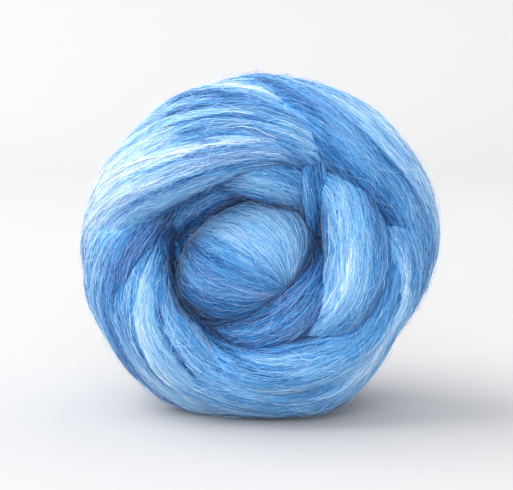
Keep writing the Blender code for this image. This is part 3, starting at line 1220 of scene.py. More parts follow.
class Shown:
    """Which cells of the turns show, and how much sky each has over it, for the painted shade."""

    # A cell is tested from a point LIFT over its surface, and is covered where that point lies
    # inside another turn, or less than TOUCHING under one. Lengths are in millimetres.
    LIFT = 0.35
    TOUCHING = 0.6
    # Cells lower than this lie on the floor: no fibres, but the sky share of an open face.
    FOOT_HEIGHT = 0.4
    FOOT_SKY = 0.85
    # The sky is read by slanting rays of this length, each so many radians on from the last,
    # which rise by these degrees in turn.
    RAYS = 12
    RAY_LENGTH = 30.0
    RAY_STEP = 2.4
    RAY_RISES = (22.0, 47.0, 72.0)
    # The sky share at which the painted shade begins, and how far under it that shade is full.
    CLEAR_SKY = 0.95
    SHADE_RANGE = 0.65
    # Openness and sky are evened out over so many millimetres, and so many columns.
    SOFT_REACH = 3.2
    SKY_COLUMNS = 2

    def __init__(self, turns: Sequence[Turn], solids: Sequence[bpy.types.Object]) -> None:
        """Tests every cell.

        Args:
            turns: The turns to test.
            solids: The closed pieces that may cover them.
        """
        self.tree = self._tree(solids)
        self.cells = {turn.name: self._tested(turn) for turn in turns}

    @staticmethod
    def _tree(solids: Sequence[bpy.types.Object]) -> BVHTree:
        """Makes one search tree for all the closed pieces.

        Args:
            solids: The pieces.

        Returns:
            The tree.
        """
        model = bmesh.new()
        for solid in solids:
            model.from_mesh(solid.data)
        tree = BVHTree.FromBMesh(model)
        model.free()
        return tree

    def _tested(self, turn: Turn) -> Cells:
        """Tests the cells of one turn.

        Args:
            turn: The turn.

        Returns:
            Which cells show, their areas in square millimetres, how open they are within a soft
            reach, and the sky that they see.
        """
        rows, columns = turn.rows, turn.columns
        angle = (np.arange(columns) + 0.5) / columns * math.tau
        along = (np.arange(rows) + 0.5) / rows * turn.length
        angle, along = np.meshgrid(angle, along)
        points, out = turn.place(angle, along, self.LIFT)
        seen, sky = np.zeros(angle.shape, dtype=bool), np.zeros(angle.shape)
        foot = points[..., 2] < self.FOOT_HEIGHT
        for place in zip(*np.nonzero(~foot)):
            point, up = Vector(points[place] * MM), Vector(out[place])
            seen[place] = self._clear(point, up)
            if seen[place]:
                sky[place] = self._sky_share(point, up)
        sky[foot] = self.FOOT_SKY
        across = (np.roll(points, -1, axis=1) - np.roll(points, 1, axis=1)) / 2
        area = np.linalg.norm(np.cross(across, np.gradient(points, axis=0)), axis=-1)
        near = max(1, round(self.SOFT_REACH / turn.cell_across))
        share = neighbours(seen, near) / (3 * (2 * near + 1))
        counted = seen | foot
        total = neighbours(sky * counted, self.SKY_COLUMNS)
        sky = total / (neighbours(counted, self.SKY_COLUMNS) + 1e-6)
        return Cells(seen, np.where(seen, area, 0.0), np.clip(share * 2 - 1, 0, 1) * seen, sky)

    def _clear(self, point: Vector, out: Vector) -> bool:
        """Whether open air lies over the point: the first face on the way out looks back at it."""
        _, normal, _, distance = self.tree.ray_cast(point, out)
        return normal is None or (normal.dot(out) < 0 and distance > self.TOUCHING * MM)

    def _sky_share(self, point: Vector, up: Vector) -> float:
        """Finds how much sky a point sees past what stands near it.

        Args:
            point: The point, in metres.
            up: The way out of the surface there.

        Returns:
            The share of slanting rays that meet nothing.
        """
        side = up.orthogonal().normalized()
        other = up.cross(side)
        clear = 0
        for ray in range(self.RAYS):
            angle = self.RAY_STEP * ray
            rise = math.radians(self.RAY_RISES[ray % len(self.RAY_RISES)])
            flat = side * math.cos(angle) + other * math.sin(angle)
            slant = up * math.sin(rise) + flat * math.cos(rise)
            _, normal, _, _ = self.tree.ray_cast(point, slant, self.RAY_LENGTH * MM)
            clear += normal is None
        return clear / self.RAYS

    def openness(self, turn: Turn, angle: np.ndarray, along: np.ndarray) -> np.ndarray:
        """How open places are: 0 at a crease's edge and under cover, 1 on an open face."""
        return self._between(self.cells[turn.name].soft, angle, along / turn.length)

    def shade(self, turn: Turn, angle: np.ndarray, along: np.ndarray) -> np.ndarray:
        """How much painted shade places get: 0 on an open face, 1 deep in a gap."""
        sky = self._between(self.cells[turn.name].sky, angle, along / turn.length)
        return np.clip((self.CLEAR_SKY - sky) / self.SHADE_RANGE, 0, 1) ** turn.gap

    @staticmethod
    def _between(cells: np.ndarray, angle: np.ndarray, share: np.ndarray) -> np.ndarray:
        """Reads a table of cells smoothly.

        Args:
            cells: The table, one row a ring of cells.
            angle: Angles round the turn.
            share: Places along it, as shares of its length.

        Returns:
            The values there.
        """
        rows, columns = cells.shape
        # Places stop just short of the last row, so that there is one after theirs.
        row = np.clip(share * rows - 0.5, 0, rows - 1.001)
        return between_cells(cells, row, round_share(angle) * columns - 0.5)

    def at(self, turn: Turn, angle: np.ndarray, along: np.ndarray) -> np.ndarray:
        """Looks cells up.

        Args:
            turn: The turn.
            angle: Angles round it.
            along: Places along it, which may lie past its ends.

        Returns:
            Whether each place shows.
        """
        seen = self.cells[turn.name].open
        rows, columns = seen.shape
        column = (round_share(angle) * columns).astype(int) % columns
        row = np.floor(along / turn.length * rows).astype(int)
        return seen[np.clip(row, 0, rows - 1), column] & (row >= 0) & (row < rows)


@dataclass(frozen=True)
class Core:
    """The wound body under the turns, which shows only deep in the gaps.

    Sizes are in millimetres, and those of its dents are shares of its radius. The combing pair is
    how far round and along the material's map runs.
    """

    radii: tuple[float, float, float] = (53.0, 33.0, 53.0)
    forward: float = -10.0
    combing: tuple[float, float] = (150.0, 300.0)
    # Painted shade: the darkest tone, as the body shows only deep in the gaps.
    tone: float = -1.0
    segments: tuple[int, int] = (64, 32)
    seed: int = 900
    dents: int = 40
    dent_length: float = 0.1
    dent_depth: float = 0.01

    def build(self, finish: bpy.types.Material) -> bpy.types.Object:
        """Builds the body.

        Args:
            finish: The combed wool's material.

        Returns:
            A closed, slightly uneven ball.
        """
        model = bmesh.new()
        combing = model.loops.layers.uv.new("Combing")
        bake = model.loops.layers.uv.new("OFBake")
        lying = Matrix.Rotation(math.pi / 2, 4, "X")
        round_it, along_it = self.segments
        bmesh.ops.create_uvsphere(
            model, u_segments=round_it, v_segments=along_it, radius=1, matrix=lying, calc_uvs=True
        )
        tone = model.verts.layers.float.new("tone")
        for face in model.faces:
            for loop in face.loops:
                u, v = loop[combing].uv
                loop[bake].uv = (u, v)
                loop[combing].uv = (v * self.combing[0], u * self.combing[1])
        noise = SmoothNoise(self.seed, self.dents, self.dent_length)
        width, depth, height = self.radii
        for vert in model.verts:
            x, y, z = vert.co
            dent = noise.at(np.array(math.atan2(x, z)), np.array(y))
            spot = Vector((x * width, y * depth - self.forward, z * height))
            vert.co = (spot * (1 + self.dent_depth * float(dent)) + Vector(AXIS)) * MM
            vert[tone] = self.tone
        bmesh.ops.recalc_face_normals(model, faces=model.faces)
        return finished(model, "core", finish)


# The last turn: from the back over the crown, then down the right side.
CROWN = (
    Section(138, 46, -22, 9, 7, 128),
    Section(146, 36, -32, 11, 8, 142),
    Section(166, 23, -39.5, 13, 9, 158),
    Section(208, 14, -43, 14, 9, 168),
    Section(262, 14, -43.5, 14, 9.5, 168),
    Section(296, 22, -41, 14, 9.5, 160),
    Section(314, 32, -35.5, 13.5, 9.5, 148),
    Section(328, 41, -26.5, 13, 9.5, 130),
    Section(343, 47, -14, 13, 9.5, 105),
    Section(358, 49.3, -1, 14.5, 9.5, 86),
    Section(14, 48.2, 11, 16, 10, 72),
    Section(32, 49, 20, 17, 10, 60),
    Section(52, 49, 23.5, 16.4, 10, 56),
    Section(72, 50.8, 21.5, 15.3, 10, 62),
    Section(90, 51.5, 17, 14.6, 10, 70),
    Section(108, 50, 11, 15, 10, 77),
    Section(126, 48.5, 6, 14.5, 10, 84),
    Section(146, 48, 4, 13.5, 9.5, 88),
    Section(166, 45.5, 4, 11, 8, 90),
    Section(184, 42, 4, 8, 7, 90),
)

# The turn under it at the upper left, as three bands side by side.
SHOULDER_TOP = (
    Section(122, 36, -26, 9, 7, 146),
    Section(147, 31.5, -32, 12.5, 8.5, 152),
    Section(178, 30, -34, 14.5, 9, 154),
    Section(211, 30.5, -34, 14.5, 9, 154),
    Section(240, 33.5, -32, 13.5, 9, 150),
    Section(262, 38.5, -28, 13, 9, 143),
    Section(282, 45.5, -21.5, 12.5, 9, 128),
    Section(300, 49.8, -11, 12.5, 9, 104),
    Section(320, 50.5, 1, 12.5, 9, 83),
    Section(340, 48.5, 12, 12.5, 9, 69),
    Section(0, 45, 19, 11.5, 9, 59),
    Section(18, 41, 20, 10, 8, 50),
    Section(34, 37, 16, 8, 7, 45),
)
SHOULDER_MIDDLE = (
    Section(132, 43, -13, 9, 7, 126),
    Section(153, 47, -20, 12, 8.5, 128),
    Section(177, 50, -21, 14.5, 9.5, 124),
    Section(202, 50, -20.5, 14.5, 9.5, 122),
    Section(226, 50, -18.5, 13.5, 9, 118),
    Section(249, 52, -14, 13, 9, 110),
    Section(270, 54.5, -6, 12.5, 9, 95),
    Section(291, 52.2, 11, 12.5, 9, 74),
    Section(310, 48.9, 24, 12, 9, 54),
    Section(330, 46, 30, 10.5, 9, 42),
    Section(350, 43, 32, 9.5, 8.5, 34),
    Section(10, 40.5, 31.5, 8, 7.5, 29),
    Section(28, 38.5, 27, 7, 6.5, 25),
    Section(44, 36, 19, 6, 6, 20),
)
SHOULDER_LOW = (
    Section(194, 44, -4, 8, 7, 104),
    Section(211, 51, -6, 11, 8.5, 102),
    Section(234, 54, -6.5, 11.5, 9, 98),
    Section(255, 55, -3, 11.5, 9, 90),
    Section(273, 54, 10, 12, 9, 73),
    Section(292, 48.5, 24, 11.5, 9, 50),
    Section(312, 41, 32.5, 10.5, 9, 29),
    Section(332, 37, 35, 9, 8.5, 18),
    Section(352, 35.5, 34.5, 7.5, 7.5, 12),
    Section(11, 35.5, 31.5, 6, 6.5, 10),
    Section(30, 35, 25, 5, 5, 5),
)

# The turn at the left, which comes out of the hollow and goes down under the ball.
LEFT_FLANK = (
    Section(318, 33, 6, 5, 5, 0),
    Section(303, 37, 14, 7, 6.5, 8),
    Section(287, 42, 20.5, 10, 8, 22),
    Section(270, 47.5, 21, 13, 9, 42),
    Section(253, 51.8, 17.5, 15.5, 9.5, 57),
    Section(236, 53.3, 16, 15.5, 9.5, 64),
    Section(220, 55.5, 13, 15.5, 9.5, 70),
    Section(203, 56, 10, 16, 9.5, 77),
    Section(185, 55.5, 6, 16.5, 9.5, 84),
    Section(166, 56, 0, 16, 9.5, 91),
    Section(146, 54.5, -8, 14, 9.5, 100),
    Section(126, 49, -15.5, 13, 9, 112),
    Section(107, 46, -21.5, 13, 9, 124),
    Section(88, 43.5, -25, 13, 9, 132),
    Section(66, 42.5, -26.5, 13, 9, 135),
    Section(43, 42.5, -26, 13, 9, 134),
    Section(20, 43.5, -23.5, 12, 8.5, 130),
    Section(0, 45, -18, 10, 8, 120),
    Section(344, 45, -10, 8, 7, 110),
)

# The ring at the bottom: an outer band that starts at the left, and an inner one on it.
RING_OUTER = (
    Section(292, 33.5, 12, 4, 4, 0),
    Section(276, 35, 20.5, 4.5, 5.5, 5),
    Section(262, 38, 26, 6, 7, 11),
    Section(249, 41.5, 29, 8.3, 8.5, 19),
    Section(236, 44.5, 30, 10.8, 9, 28),
    Section(222, 46, 29.5, 13, 9.5, 37),
    Section(206, 47.5, 28, 13, 9, 45),
    Section(189, 48, 27, 12.5, 9, 51),
    Section(172, 49.5, 26, 12, 9, 54),
    Section(155, 51.5, 24.5, 12, 9, 56),
    Section(139, 48.8, 25.5, 11.5, 9, 52),
    Section(123, 46.6, 27, 9.5, 8.5, 44),
    Section(107, 47.6, 28.5, 8.5, 8.5, 38),
    Section(92, 47, 29.5, 7.5, 8, 32),
    Section(77, 43.5, 26.3, 6.4, 7, 26),
    Section(62, 39, 18, 5, 5, 25),
)
RING_INNER = (
    Section(234, 36.5, 16, 4.5, 4.5, 8),
    Section(219, 37.5, 23, 6, 6.5, 10),
    Section(204, 38.8, 28, 7, 8, 12),
    Section(190, 39.5, 31.5, 7.5, 9, 14),
    Section(175, 40, 34.5, 8, 9.5, 17),
    Section(160, 41, 34.5, 8.5, 9.5, 21),
    Section(147, 42.5, 33.5, 8, 9, 25),
    Section(133, 45, 31.5, 6.5, 8.5, 25),
    Section(118, 45.5, 31, 6, 8, 24),
    Section(103, 45, 31, 6, 8, 22),
    Section(88, 44.5, 28.6, 6.5, 7, 18),
    Section(73, 40, 25, 5.8, 6, 14),
    Section(58, 36, 18.5, 5, 5, 10),
)

# The strand that comes down between the middle and the ring at the right.
INNER_RIGHT = (
    Section(36, 33, 16, 6, 6, 0),
    Section(48, 34.5, 25.5, 8, 7.5, 2),
    Section(62, 34, 31.5, 9.5, 8.5, 0),
    Section(78, 32.5, 34.5, 10.5, 9, -4),
    Section(94, 32.5, 35.5, 10.5, 9, -5),
    Section(110, 33, 35.5, 10.5, 9, -3),
    Section(125, 33.2, 33.5, 9.2, 9, 0),
    Section(139, 32.8, 30.5, 8.2, 8.5, 4),
    Section(153, 34, 25, 7.8, 7.5, 8),
    Section(168, 37, 14, 6.5, 6, 10),
)

# The curl that hugs the small ball from below.
CURL = (
    Section(74, 20, 12, 4.5, 4.5, 10),
    Section(90, 22.5, 20.5, 5.5, 5.5, 16),
    Section(107, 23, 27.5, 6.5, 7, 16),
    Section(126, 22.5, 32, 7.5, 8, 16),
    Section(146, 23.5, 33.5, 9, 8.5, 18),
    Section(166, 25.5, 32.5, 9, 8.5, 20),
    Section(185, 29, 28.5, 8.5, 8, 20),
    Section(203, 33.5, 21.5, 7, 7, 16),
    Section(221, 35.5, 13.5, 6, 6, 14),
    Section(240, 35.5, 5, 5, 5, 10),
)

# The short strand over the small ball, the deep one beside it and the one in the hollow.
BROW = (
    Section(314, 35, 12, 6, 6, -12),
    Section(330, 32, 22, 8, 7, -10),
    Section(348, 28.5, 27, 9, 7.5, -6),
    Section(6, 26.5, 28.5, 9.5, 7.5, -2),
    Section(23, 25, 26.5, 8.5, 7, 2),
    Section(39, 23, 20, 6.5, 6, 6),
    Section(55, 21, 11, 5, 5, 8),
)
DEEP_RIGHT = (
    Section(20, 43, 17, 6, 6, 5),
    Section(28, 37.5, 24, 7, 6.5, 3),
    Section(39, 30.5, 27, 7.5, 6.5, 0),
    Section(54, 25, 25.5, 7, 6, 0),
    Section(75, 22, 19, 6, 5.5, 0),
    Section(98, 21, 10, 5, 5, 0),
)
HOLLOW = (
    Section(254, 38, 3, 5, 5, 5),
    Section(268, 36, 9, 5.5, 5.5, 5),
    Section(284, 32, 14.5, 7, 6, 4),
    Section(302, 28.5, 18.5, 7.5, 6, 2),
    Section(322, 26, 20.5, 7.2, 6, 0),
    Section(342, 24.5, 19, 6.5, 5.5, 0),
    Section(2, 24.5, 12, 4.5, 5, 0),
)

# The turns that show at the back only: beside the middle, and along the rim at the right.
BACK_MIDDLE = (
    Section(160, 19, -29, 10, 7, 160),
    Section(130, 19, -35, 14, 9, 164),
    Section(96, 18.5, -37, 17, 10, 165),
    Section(60, 19, -37, 17.5, 10, 165),
    Section(27, 22, -35.5, 16, 10, 161),
    Section(0, 27, -32, 13, 9, 155),
    Section(337, 32, -25, 9, 7, 148),
)
RIGHT_RIM = (
    Section(120, 47, -6, 7, 7, 104),
    Section(106, 51, -7, 10, 8.5, 99),
    Section(88, 52.5, -6, 12.5, 9, 95),
    Section(66, 51.5, -5, 14, 9, 93),
    Section(44, 50.5, -5, 14, 9, 93),
    Section(22, 50, -5.5, 13, 9, 94),
    Section(2, 47, -8, 10, 8, 98),
    Section(345, 43, -10, 8, 7, 104),
)


# Clock values of the streaks follow each turn's own count, which may run past 360 or below 0.
CROWN_STREAKS = (
    Streak(Tint.MILK, 305, 376, -0.75, -0.1, 0.35),
    Streak(Tint.PALE, 340, 400, -0.7, -0.1, 0.25),
    Streak(Tint.DEEP, 350, 402, -0.15, -0.8, 0.17),
    Streak(Tint.PALE, 368, 450, 0.1, -0.5, 0.2),
    Streak(Tint.MILK, 372, 470, 0.45, 0.0, 0.4),
    Streak(Tint.DEEP, 392, 468, -0.38, 0.0, 0.06),
    Streak(Tint.BLUE, 435, 480, -0.5, 0.0, 0.2),
    # Painted shade along the inner edge, in the crease over the strands below.
    Streak(Tint.DEEP, 384, 462, -1.0, 0.0, 0.14),
    Streak(Tint.SOFT, 445, 520, 0.0, 0.0, 0.3),
    # Painted light along the rim at the far right, where the loose fibres catch the light.
    Streak(Tint.MILK, 412, 492, 0.95, 0.0, 0.35),
)
# On the three shoulder bands, the broad pale streaks at the upper left are partly the wool's own
# white streak and partly painted light, where the rim is lit from the upper left.
SHOULDER_TOP_STREAKS = (
    Streak(Tint.PALE, 240, 345, 0.1, 0.0, 0.7),
    Streak(Tint.MILK, 240, 340, 0.2, 0.0, 0.8),
    Streak(Tint.SNOW, 245, 340, 0.5, 0.0, 0.6),
    Streak(Tint.SNOW, 306, 376, 0.8, -0.4, 0.45),
    Streak(Tint.DEEP, 312, 382, 0.3, -1.0, 0.15),
)
SHOULDER_MIDDLE_STREAKS = (
    Streak(Tint.PALE, 235, 350, 0.0, 0.0, 0.8),
    Streak(Tint.MILK, 235, 338, 0.0, 0.0, 0.9),
    Streak(Tint.SNOW, 232, 336, 0.3, 0.0, 0.7),
    Streak(Tint.DEEP, 316, 376, -0.08, -0.05, 0.09),
    Streak(Tint.BLUE, 300, 376, 0.5, 0.0, 0.12),
    Streak(Tint.VIOLET, 300, 372, -0.6, 0.0, 0.15),
)
SHOULDER_LOW_STREAKS = (
    Streak(Tint.PALE, 226, 350, 0.0, 0.0, 1.0),
    Streak(Tint.SNOW, 230, 328, 0.3, 0.0, 0.8),
    Streak(Tint.PALE, 296, 385, -0.4, 0.0, 0.4),
    Streak(Tint.VIOLET, 312, 385, -0.25, 0.0, 0.25),
    Streak(Tint.SNOW, 260, 388, 0.16, 0.08, 0.16),
    Streak(Tint.DEEP, 288, 380, -0.1, 0.08, 0.05),
    Streak(Tint.DEEP, 280, 375, -0.72, 0.0, 0.08),
)
LEFT_FLANK_STREAKS = (
    Streak(Tint.SOFT, 296, 215, 0.2, 0.1, 0.4),
    Streak(Tint.MILK, 244, 196, -0.75, 0.4, 0.16),
    Streak(Tint.PALE, 312, 262, 0.3, 0.0, 0.6),
    # Painted shade, darker and more violet, on the inner edge where the flank comes out under the
    # shoulder.
    Streak(Tint.DEEP, 300, 246, -0.8, 0.0, 0.42),
    Streak(Tint.VIOLET, 320, 250, -0.6, 0.0, 0.4),
    # Painted light on the outer edge, where the flank makes the outline at the lower left.
    Streak(Tint.PALE, 264, 200, 0.75, 0.0, 0.4),
    Streak(Tint.DEEP, 262, 190, -0.25, 0.0, 0.05),
    Streak(Tint.DEEP, 250, 180, 0.35, 0.05, 0.05),
)
RING_OUTER_STREAKS = (
    Streak(Tint.SOFT, 280, 186, -0.2, 0.0, 0.5),
    # Painted shade at the start, where the ring comes out of the hollow.
    Streak(Tint.DEEP, 296, 252, 0.0, 0.0, 1.0),
    Streak(Tint.MILK, 260, 200, -0.4, 0.8, 0.2),
    Streak(Tint.PALE, 246, 196, -0.88, 0.4, 0.12),
    Streak(Tint.DEEP, 258, 190, -0.85, 0.5, 0.07),
    Streak(Tint.DEEP, 262, 196, 0.15, 0.4, 0.07),
    # The pale streaks on the lower right are partly the wool's own and partly painted light, as
    # this side faces away from the window.
    Streak(Tint.MILK, 122, 82, -0.05, -0.5, 0.16),
    Streak(Tint.PALE, 164, 98, -0.3, 0.0, 0.5),
    Streak(Tint.MILK, 160, 100, -0.1, 0.1, 0.16),
    Streak(Tint.BLUE, 98, 50, 0.0, 0.0, 1.2),
    Streak(Tint.BLUE, 215, 145, -0.05, 0.1, 0.12),
    Streak(Tint.DEEP, 200, 130, 0.45, 0.0, 0.06),
)
RING_INNER_STREAKS = (
    # Painted highlight along the crest that faces up.
    Streak(Tint.SOFT, 206, 140, -0.6, 0.0, 0.32),
    # Painted shade on the inner edge, in the crease under the small ball.
    Streak(Tint.DEEP, 222, 176, -1.0, 0.0, 0.28),
    Streak(Tint.DEEP, 203, 156, -0.9, 1.1, 0.09),
    Streak(Tint.SOFT, 200, 120, 0.5, 0.0, 0.3),
    Streak(Tint.PALE, 152, 104, 0.5, 0.0, 0.35),
    Streak(Tint.BLUE, 118, 70, -0.3, 0.0, 0.5),
)
INNER_RIGHT_STREAKS = (
    Streak(Tint.SOFT, 36, 132, -0.2, -0.1, 0.6),
    # A pale streak that is partly the wool's own and partly a painted highlight, where the strand
    # faces up to the light.
    Streak(Tint.SNOW, 78, 138, 0.05, -0.65, 0.13),
    Streak(Tint.BLUE, 52, 140, 0.75, 0.0, 0.3),
    Streak(Tint.DEEP, 36, 84, 0.85, 0.0, 0.4),
    Streak(Tint.BLUE, 112, 175, 0.45, -0.3, 0.35),
)
CURL_STREAKS = (
    Streak(Tint.VIOLET, 92, 235, 0.5, 0.0, 0.6),
    Streak(Tint.DEEP, 100, 235, 0.75, 0.0, 0.35),
)
BROW_STREAKS = (
    Streak(Tint.SOFT, 325, 400, -0.5, 0.0, 0.3),
    Streak(Tint.VIOLET, 315, 365, -0.3, 0.0, 0.4),
    Streak(Tint.SNOW, 385, 420, 0.6, 0.0, 0.1),
)
HEART_STREAKS = (
    Streak(Tint.DEEP, 20, 175, 0.12, 0.0, 0.05),
    Streak(Tint.DEEP, 40, 175, 0.42, 0.0, 0.04),
    Streak(Tint.SOFT, 20, 150, 0.65, 0.0, 0.25),
    # Painted light on the upper right, where the brow and the strand beside it cast shade.
    Streak(Tint.SOFT, 50, 176, 0.9, 0.0, 0.28),
    Streak(Tint.VIOLET, 60, 178, -0.3, 0.0, 0.2),
    Streak(Tint.DEEP, 50, 178, -0.9, 0.0, 0.3),
    Streak(Tint.BLUE, 30, 175, -0.45, 0.0, 0.15),
    Streak(Tint.DEEP, 60, 178, -0.62, 0.0, 0.14),
)


def wound_turns() -> list[Turn]:
    """Lists the turns, the last one wound first, and the small ball in the middle."""
    return [
        Turn("crown_turn", 11, CROWN, CROWN_STREAKS, tone=0.05),
        Turn("shoulder_turn_top", 12, SHOULDER_TOP, SHOULDER_TOP_STREAKS, tone=0.15),
        Turn("shoulder_turn_middle", 13, SHOULDER_MIDDLE, SHOULDER_MIDDLE_STREAKS, tone=0.1),
        Turn("shoulder_turn_low", 14, SHOULDER_LOW, SHOULDER_LOW_STREAKS, violet=0.1),
        Turn("left_flank_turn", 15, LEFT_FLANK, LEFT_FLANK_STREAKS, tone=-0.1),
        Turn("ring_turn_outer", 16, RING_OUTER, RING_OUTER_STREAKS, tone=0.1),
        Turn("ring_turn_inner", 17, RING_INNER, RING_INNER_STREAKS, tone=-0.45),
        Turn("inner_turn_right", 18, INNER_RIGHT, INNER_RIGHT_STREAKS, tone=-0.02),
        # The curl, the deep turn and the hollow lie deep among the others, and their low tones are
        # partly painted shade.
        Turn("curl", 19, CURL, CURL_STREAKS, tone=-1.25, violet=0.15),
        Turn("brow", 20, BROW, BROW_STREAKS, tone=-0.15),
        Turn("deep_turn_right", 21, DEEP_RIGHT, tone=-0.5),
        Turn("hollow_turn", 22, HOLLOW, tone=-0.5, violet=0.3, shadow=1.6),
        Turn("back_turn_middle", 23, BACK_MIDDLE, tone=0.1),
        Turn("right_rim_turn", 24, RIGHT_RIM, tone=0.1),
        Heart("heart", 25, streaks=HEART_STREAKS, tone=-0.55),
    ]


# The combed fibres that make up the surface, sorted into the dye baths.
COMBED_COAT = Coat(
    name="fibres",
    seed=1000,
    per_area=0.64,
    length=(9.0, 24.0),
    width=0.2,
    slope=0.035,
    stray=0.08,
    stray_slope=0.15,
    crimp=(0.05, 0.25),
    crimp_length=(5.0, 10.0),
    height=(0.1, 0.6),
    arch=0.3,
    roll=0.5,
    steps=5,
    follow=0.05,
)
# Short fibres that the combing left lying across the others.
FRIZZY_COAT = Coat(
    name="frizzy_fibres",
    seed=2000,
    per_area=0.26,
    length=(3.0, 8.0),
    width=0.15,
    slope=0.28,
    stray=0.3,
    stray_slope=0.6,
    crimp=(0.15, 0.4),
    crimp_length=(3.0, 6.0),
    height=(0.15, 0.6),
    arch=0.2,
)
# Loose fibres that stand off the surface and make the soft outline.
LOOSE_COAT = Coat(
    name="loose_fibres",
    seed=3000,
    per_area=0.14,
    length=(4.0, 11.0),
    width=0.085,
    slope=0.25,
    stray=0.35,
    stray_slope=0.8,
    crimp=(0.1, 0.4),
    crimp_length=(5.0, 9.0),
    height=(0.3, 1.8),
    arch=1.7,
)


@dataclass(frozen=True)
class Fleece:
    """The whole ball of roving: its turns, its core and its fibres."""

    combed: CombedWool = CombedWool()
    frizzy: FibreWool = FibreWool("frizzy_merino_fibres", "#2a73ba", "#a9d4f4")
    loose: FibreWool = FibreWool("loose_merino_fibres", "#4a94d8", "#c8e3f9")
    turns: list[Turn] = field(default_factory=wound_turns)
    # How far fibres of about one lightness are mixed over the baths.
    bath_spread: float = 0.3

    def build(self) -> list[bpy.types.Object]:
        """Builds every piece of the ball.

        Returns:
            The pieces.
        """
        combed = self.combed.material()
        solids = [turn.build(combed) for turn in self.turns]
        solids.append(Core().build(combed))
        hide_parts("wool_roving")
        shown = Shown(self.turns, solids)
        for turn, piece in zip(self.turns, solids):
            turn.paint(piece, shown)
        return solids + self._sorted_coat(shown) + self._stray_coats(shown)

    def _laid(self, coat: Coat, shown: Shown) -> Fibres:
        """A coat's fibres over all the turns."""
        return joined([coat.lay(turn, tile, shown) for tile, turn in enumerate(self.turns)])

    def _sorted_coat(self, shown: Shown) -> list[bpy.types.Object]:
        """Lays the combed fibres, one piece for each dye bath.

        Args:
            shown: Which cells of the turns show.

        Returns:
            The pieces.
        """
        laid = self._laid(COMBED_COAT, shown)
        draw = np.random.default_rng(COMBED_COAT.seed + SORTING_STEP)
        # The lightness holds painted shade, so fibres in creases and gaps fall in the dark baths.
        light = laid.light + draw.normal(0, self.bath_spread, len(laid.light))
        baths = list(Shade)
        bath = np.digitize(light, SHADE_FLOORS)
        bath[draw.random(len(light)) < laid.violet] = baths.index(Shade.VIOLET)
        pieces = []
        for place, shade in enumerate(baths):
            name = f"{shade.name.lower()}_{COMBED_COAT.name}"
            fibres = chosen(laid, bath == place)
            pieces.append(COMBED_COAT.ribbons(fibres, name, shade.value.material()))
        return pieces

    def _stray_coats(self, shown: Shown) -> list[bpy.types.Object]:
        """Lays the fibres that cross the combed ones, and the loose ones that stand off them.

        Args:
            shown: Which cells of the turns show.

        Returns:
            The pieces.
        """
        return [
            coat.ribbons(self._laid(coat, shown), coat.name, finish.material())
            for coat, finish in ((FRIZZY_COAT, self.frizzy), (LOOSE_COAT, self.loose))
        ]


class Lamp(NamedTuple):
    """A square soft light: places in metres, size of its side in metres, power in watts."""

    name: str
    place: tuple[float, float, float]
    target: tuple[float, float, float]
    size: float
    power: float


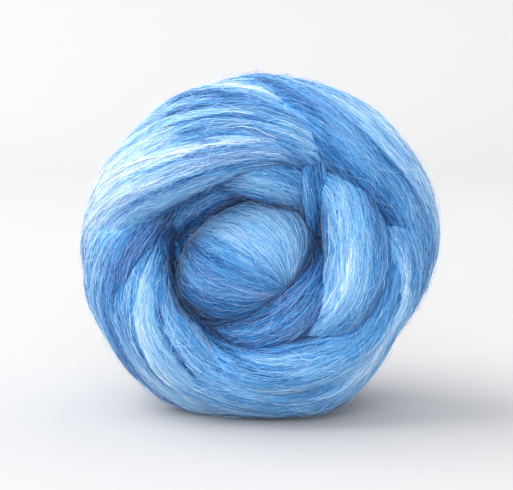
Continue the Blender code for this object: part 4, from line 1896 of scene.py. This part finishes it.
@dataclass(frozen=True)
class Studio:
    """A plain pale room: floor and wall in one sweep, soft light from the left, and the camera.

    Sizes are in metres, and pixels are those of the photograph that the view is matched to.
    """

    target: tuple[float, float, float] = (0.0009, 0.0, 0.0605)
    # The camera.
    distance: float = 0.6
    elevation: float = 7.0
    sensor: float = 36.0
    focal_pixels: float = 1648.0
    width_pixels: float = 513.0
    shift_pixels: tuple[float, float] = (-4.0, -7.0)
    # The paper sweep: its finish, half width and length, the floor's front edge and length, the
    # radius of the bend up to the wall, and the cells across and along.
    paper: MattPaper = MattPaper()
    half_width: float = 3.0
    length: float = 4.4
    front: float = -1.6
    floor_length: float = 2.64
    bend_radius: float = 0.6
    cells: tuple[int, int] = (8, 40)
    # The light from all round, and the soft lights: a window on the left and fills.
    world_colour: str = "#fdfdff"
    world_strength: float = 0.88
    lamps: tuple[Lamp, ...] = (
        Lamp("window", (-1.6, 0.2, 1.6), target, 2.6, 68.0),
        Lamp("fill", (-0.2, -2.2, 1.0), target, 1.8, 36.0),
        Lamp("wall_light", (0.7, 0.6, 1.3), (0.9, 1.3, 0.1), 1.2, 5.0),
    )

    def build(self) -> None:
        """Builds the room, the lights and the camera."""
        self._room()
        self._lights()
        self._camera()

    def _room(self) -> None:
        """Builds the floor and wall."""
        model = bmesh.new()
        across, along = self.cells
        bmesh.ops.create_grid(model, x_segments=across, y_segments=along, size=1.0)
        for vert in model.verts:
            run = (vert.co.y + 1) / 2 * self.length
            vert.co = (vert.co.x * self.half_width, *self._sweep(run))
        mesh = bpy.data.meshes.new("room")
        model.to_mesh(mesh)
        model.free()
        mesh.shade_smooth()
        mesh.materials.append(self.paper.material())
        room = bpy.data.objects.new("room", mesh)
        bpy.context.scene.collection.objects.link(room)

    def _sweep(self, run: float) -> tuple[float, float]:
        """Finds a place on the paper: along the floor, a quarter round, then straight up.

        Args:
            run: Length of paper from the floor's front edge.

        Returns:
            The place's depth and height.
        """
        past = max(run - self.floor_length, 0.0)
        turn = min(past / self.bend_radius, math.pi / 2)
        rise = max(past - self.bend_radius * math.pi / 2, 0.0)
        depth = self.front + min(run, self.floor_length) + self.bend_radius * math.sin(turn)
        return depth, self.bend_radius * (1 - math.cos(turn)) + rise

    def _lights(self) -> None:
        """Adds the soft lights."""
        world = bpy.data.worlds.new("soft_white")
        world.use_nodes = True
        background = world.node_tree.nodes["Background"]
        background.inputs["Color"].default_value = srgb(self.world_colour)
        background.inputs["Strength"].default_value = self.world_strength
        bpy.context.scene.world = world
        for name, place, target, size, power in self.lamps:
            light = bpy.data.lights.new(name, "AREA")
            light.size, light.energy = size, power
            lamp = bpy.data.objects.new(name, light)
            lamp.location = place
            towards = Vector(target) - Vector(place)
            lamp.rotation_euler = towards.to_track_quat("-Z", "Y").to_euler()
            bpy.context.scene.collection.objects.link(lamp)

    def _camera(self) -> None:
        """Adds the camera at the viewing angle. The view shows plain lit colours."""
        lens = bpy.data.cameras.new("camera")
        lens.sensor_width = self.sensor
        lens.lens = self.sensor * self.focal_pixels / self.width_pixels
        lens.shift_x, lens.shift_y = (pixels / self.width_pixels for pixels in self.shift_pixels)
        camera = bpy.data.objects.new("camera", lens)
        rise = math.radians(self.elevation)
        away = Vector((0, -math.cos(rise), math.sin(rise)))
        camera.location = Vector(self.target) + away * self.distance
        camera.rotation_euler = (-away).to_track_quat("-Z", "Y").to_euler()
        bpy.context.scene.collection.objects.link(camera)
        bpy.context.scene.camera = camera
        bpy.context.scene.view_settings.view_transform = "Standard"


def clear_start() -> None:
    """Removes the start scene's own lights, camera and meshes, and keeps the frame's nodes."""
    nodes = set(frame["nodes"].values())
    for thing in list(bpy.data.objects):
        if thing.type in {"LIGHT", "CAMERA"} or (thing.type == "MESH" and thing not in nodes):
            bpy.data.objects.remove(thing, do_unlink=True)


def main() -> None:
    """Builds the ball and the studio, and reports each piece."""
    logging.basicConfig(level=logging.INFO, format="%(name)s: %(message)s")
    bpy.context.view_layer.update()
    clear_start()
    for piece in Fleece().build():
        triangles = sum(face.loop_total - 2 for face in piece.data.polygons)
        LOG.info("%s: %d triangles", piece.name, triangles)
    Studio().build()


if __name__ == "__main__":
    main()
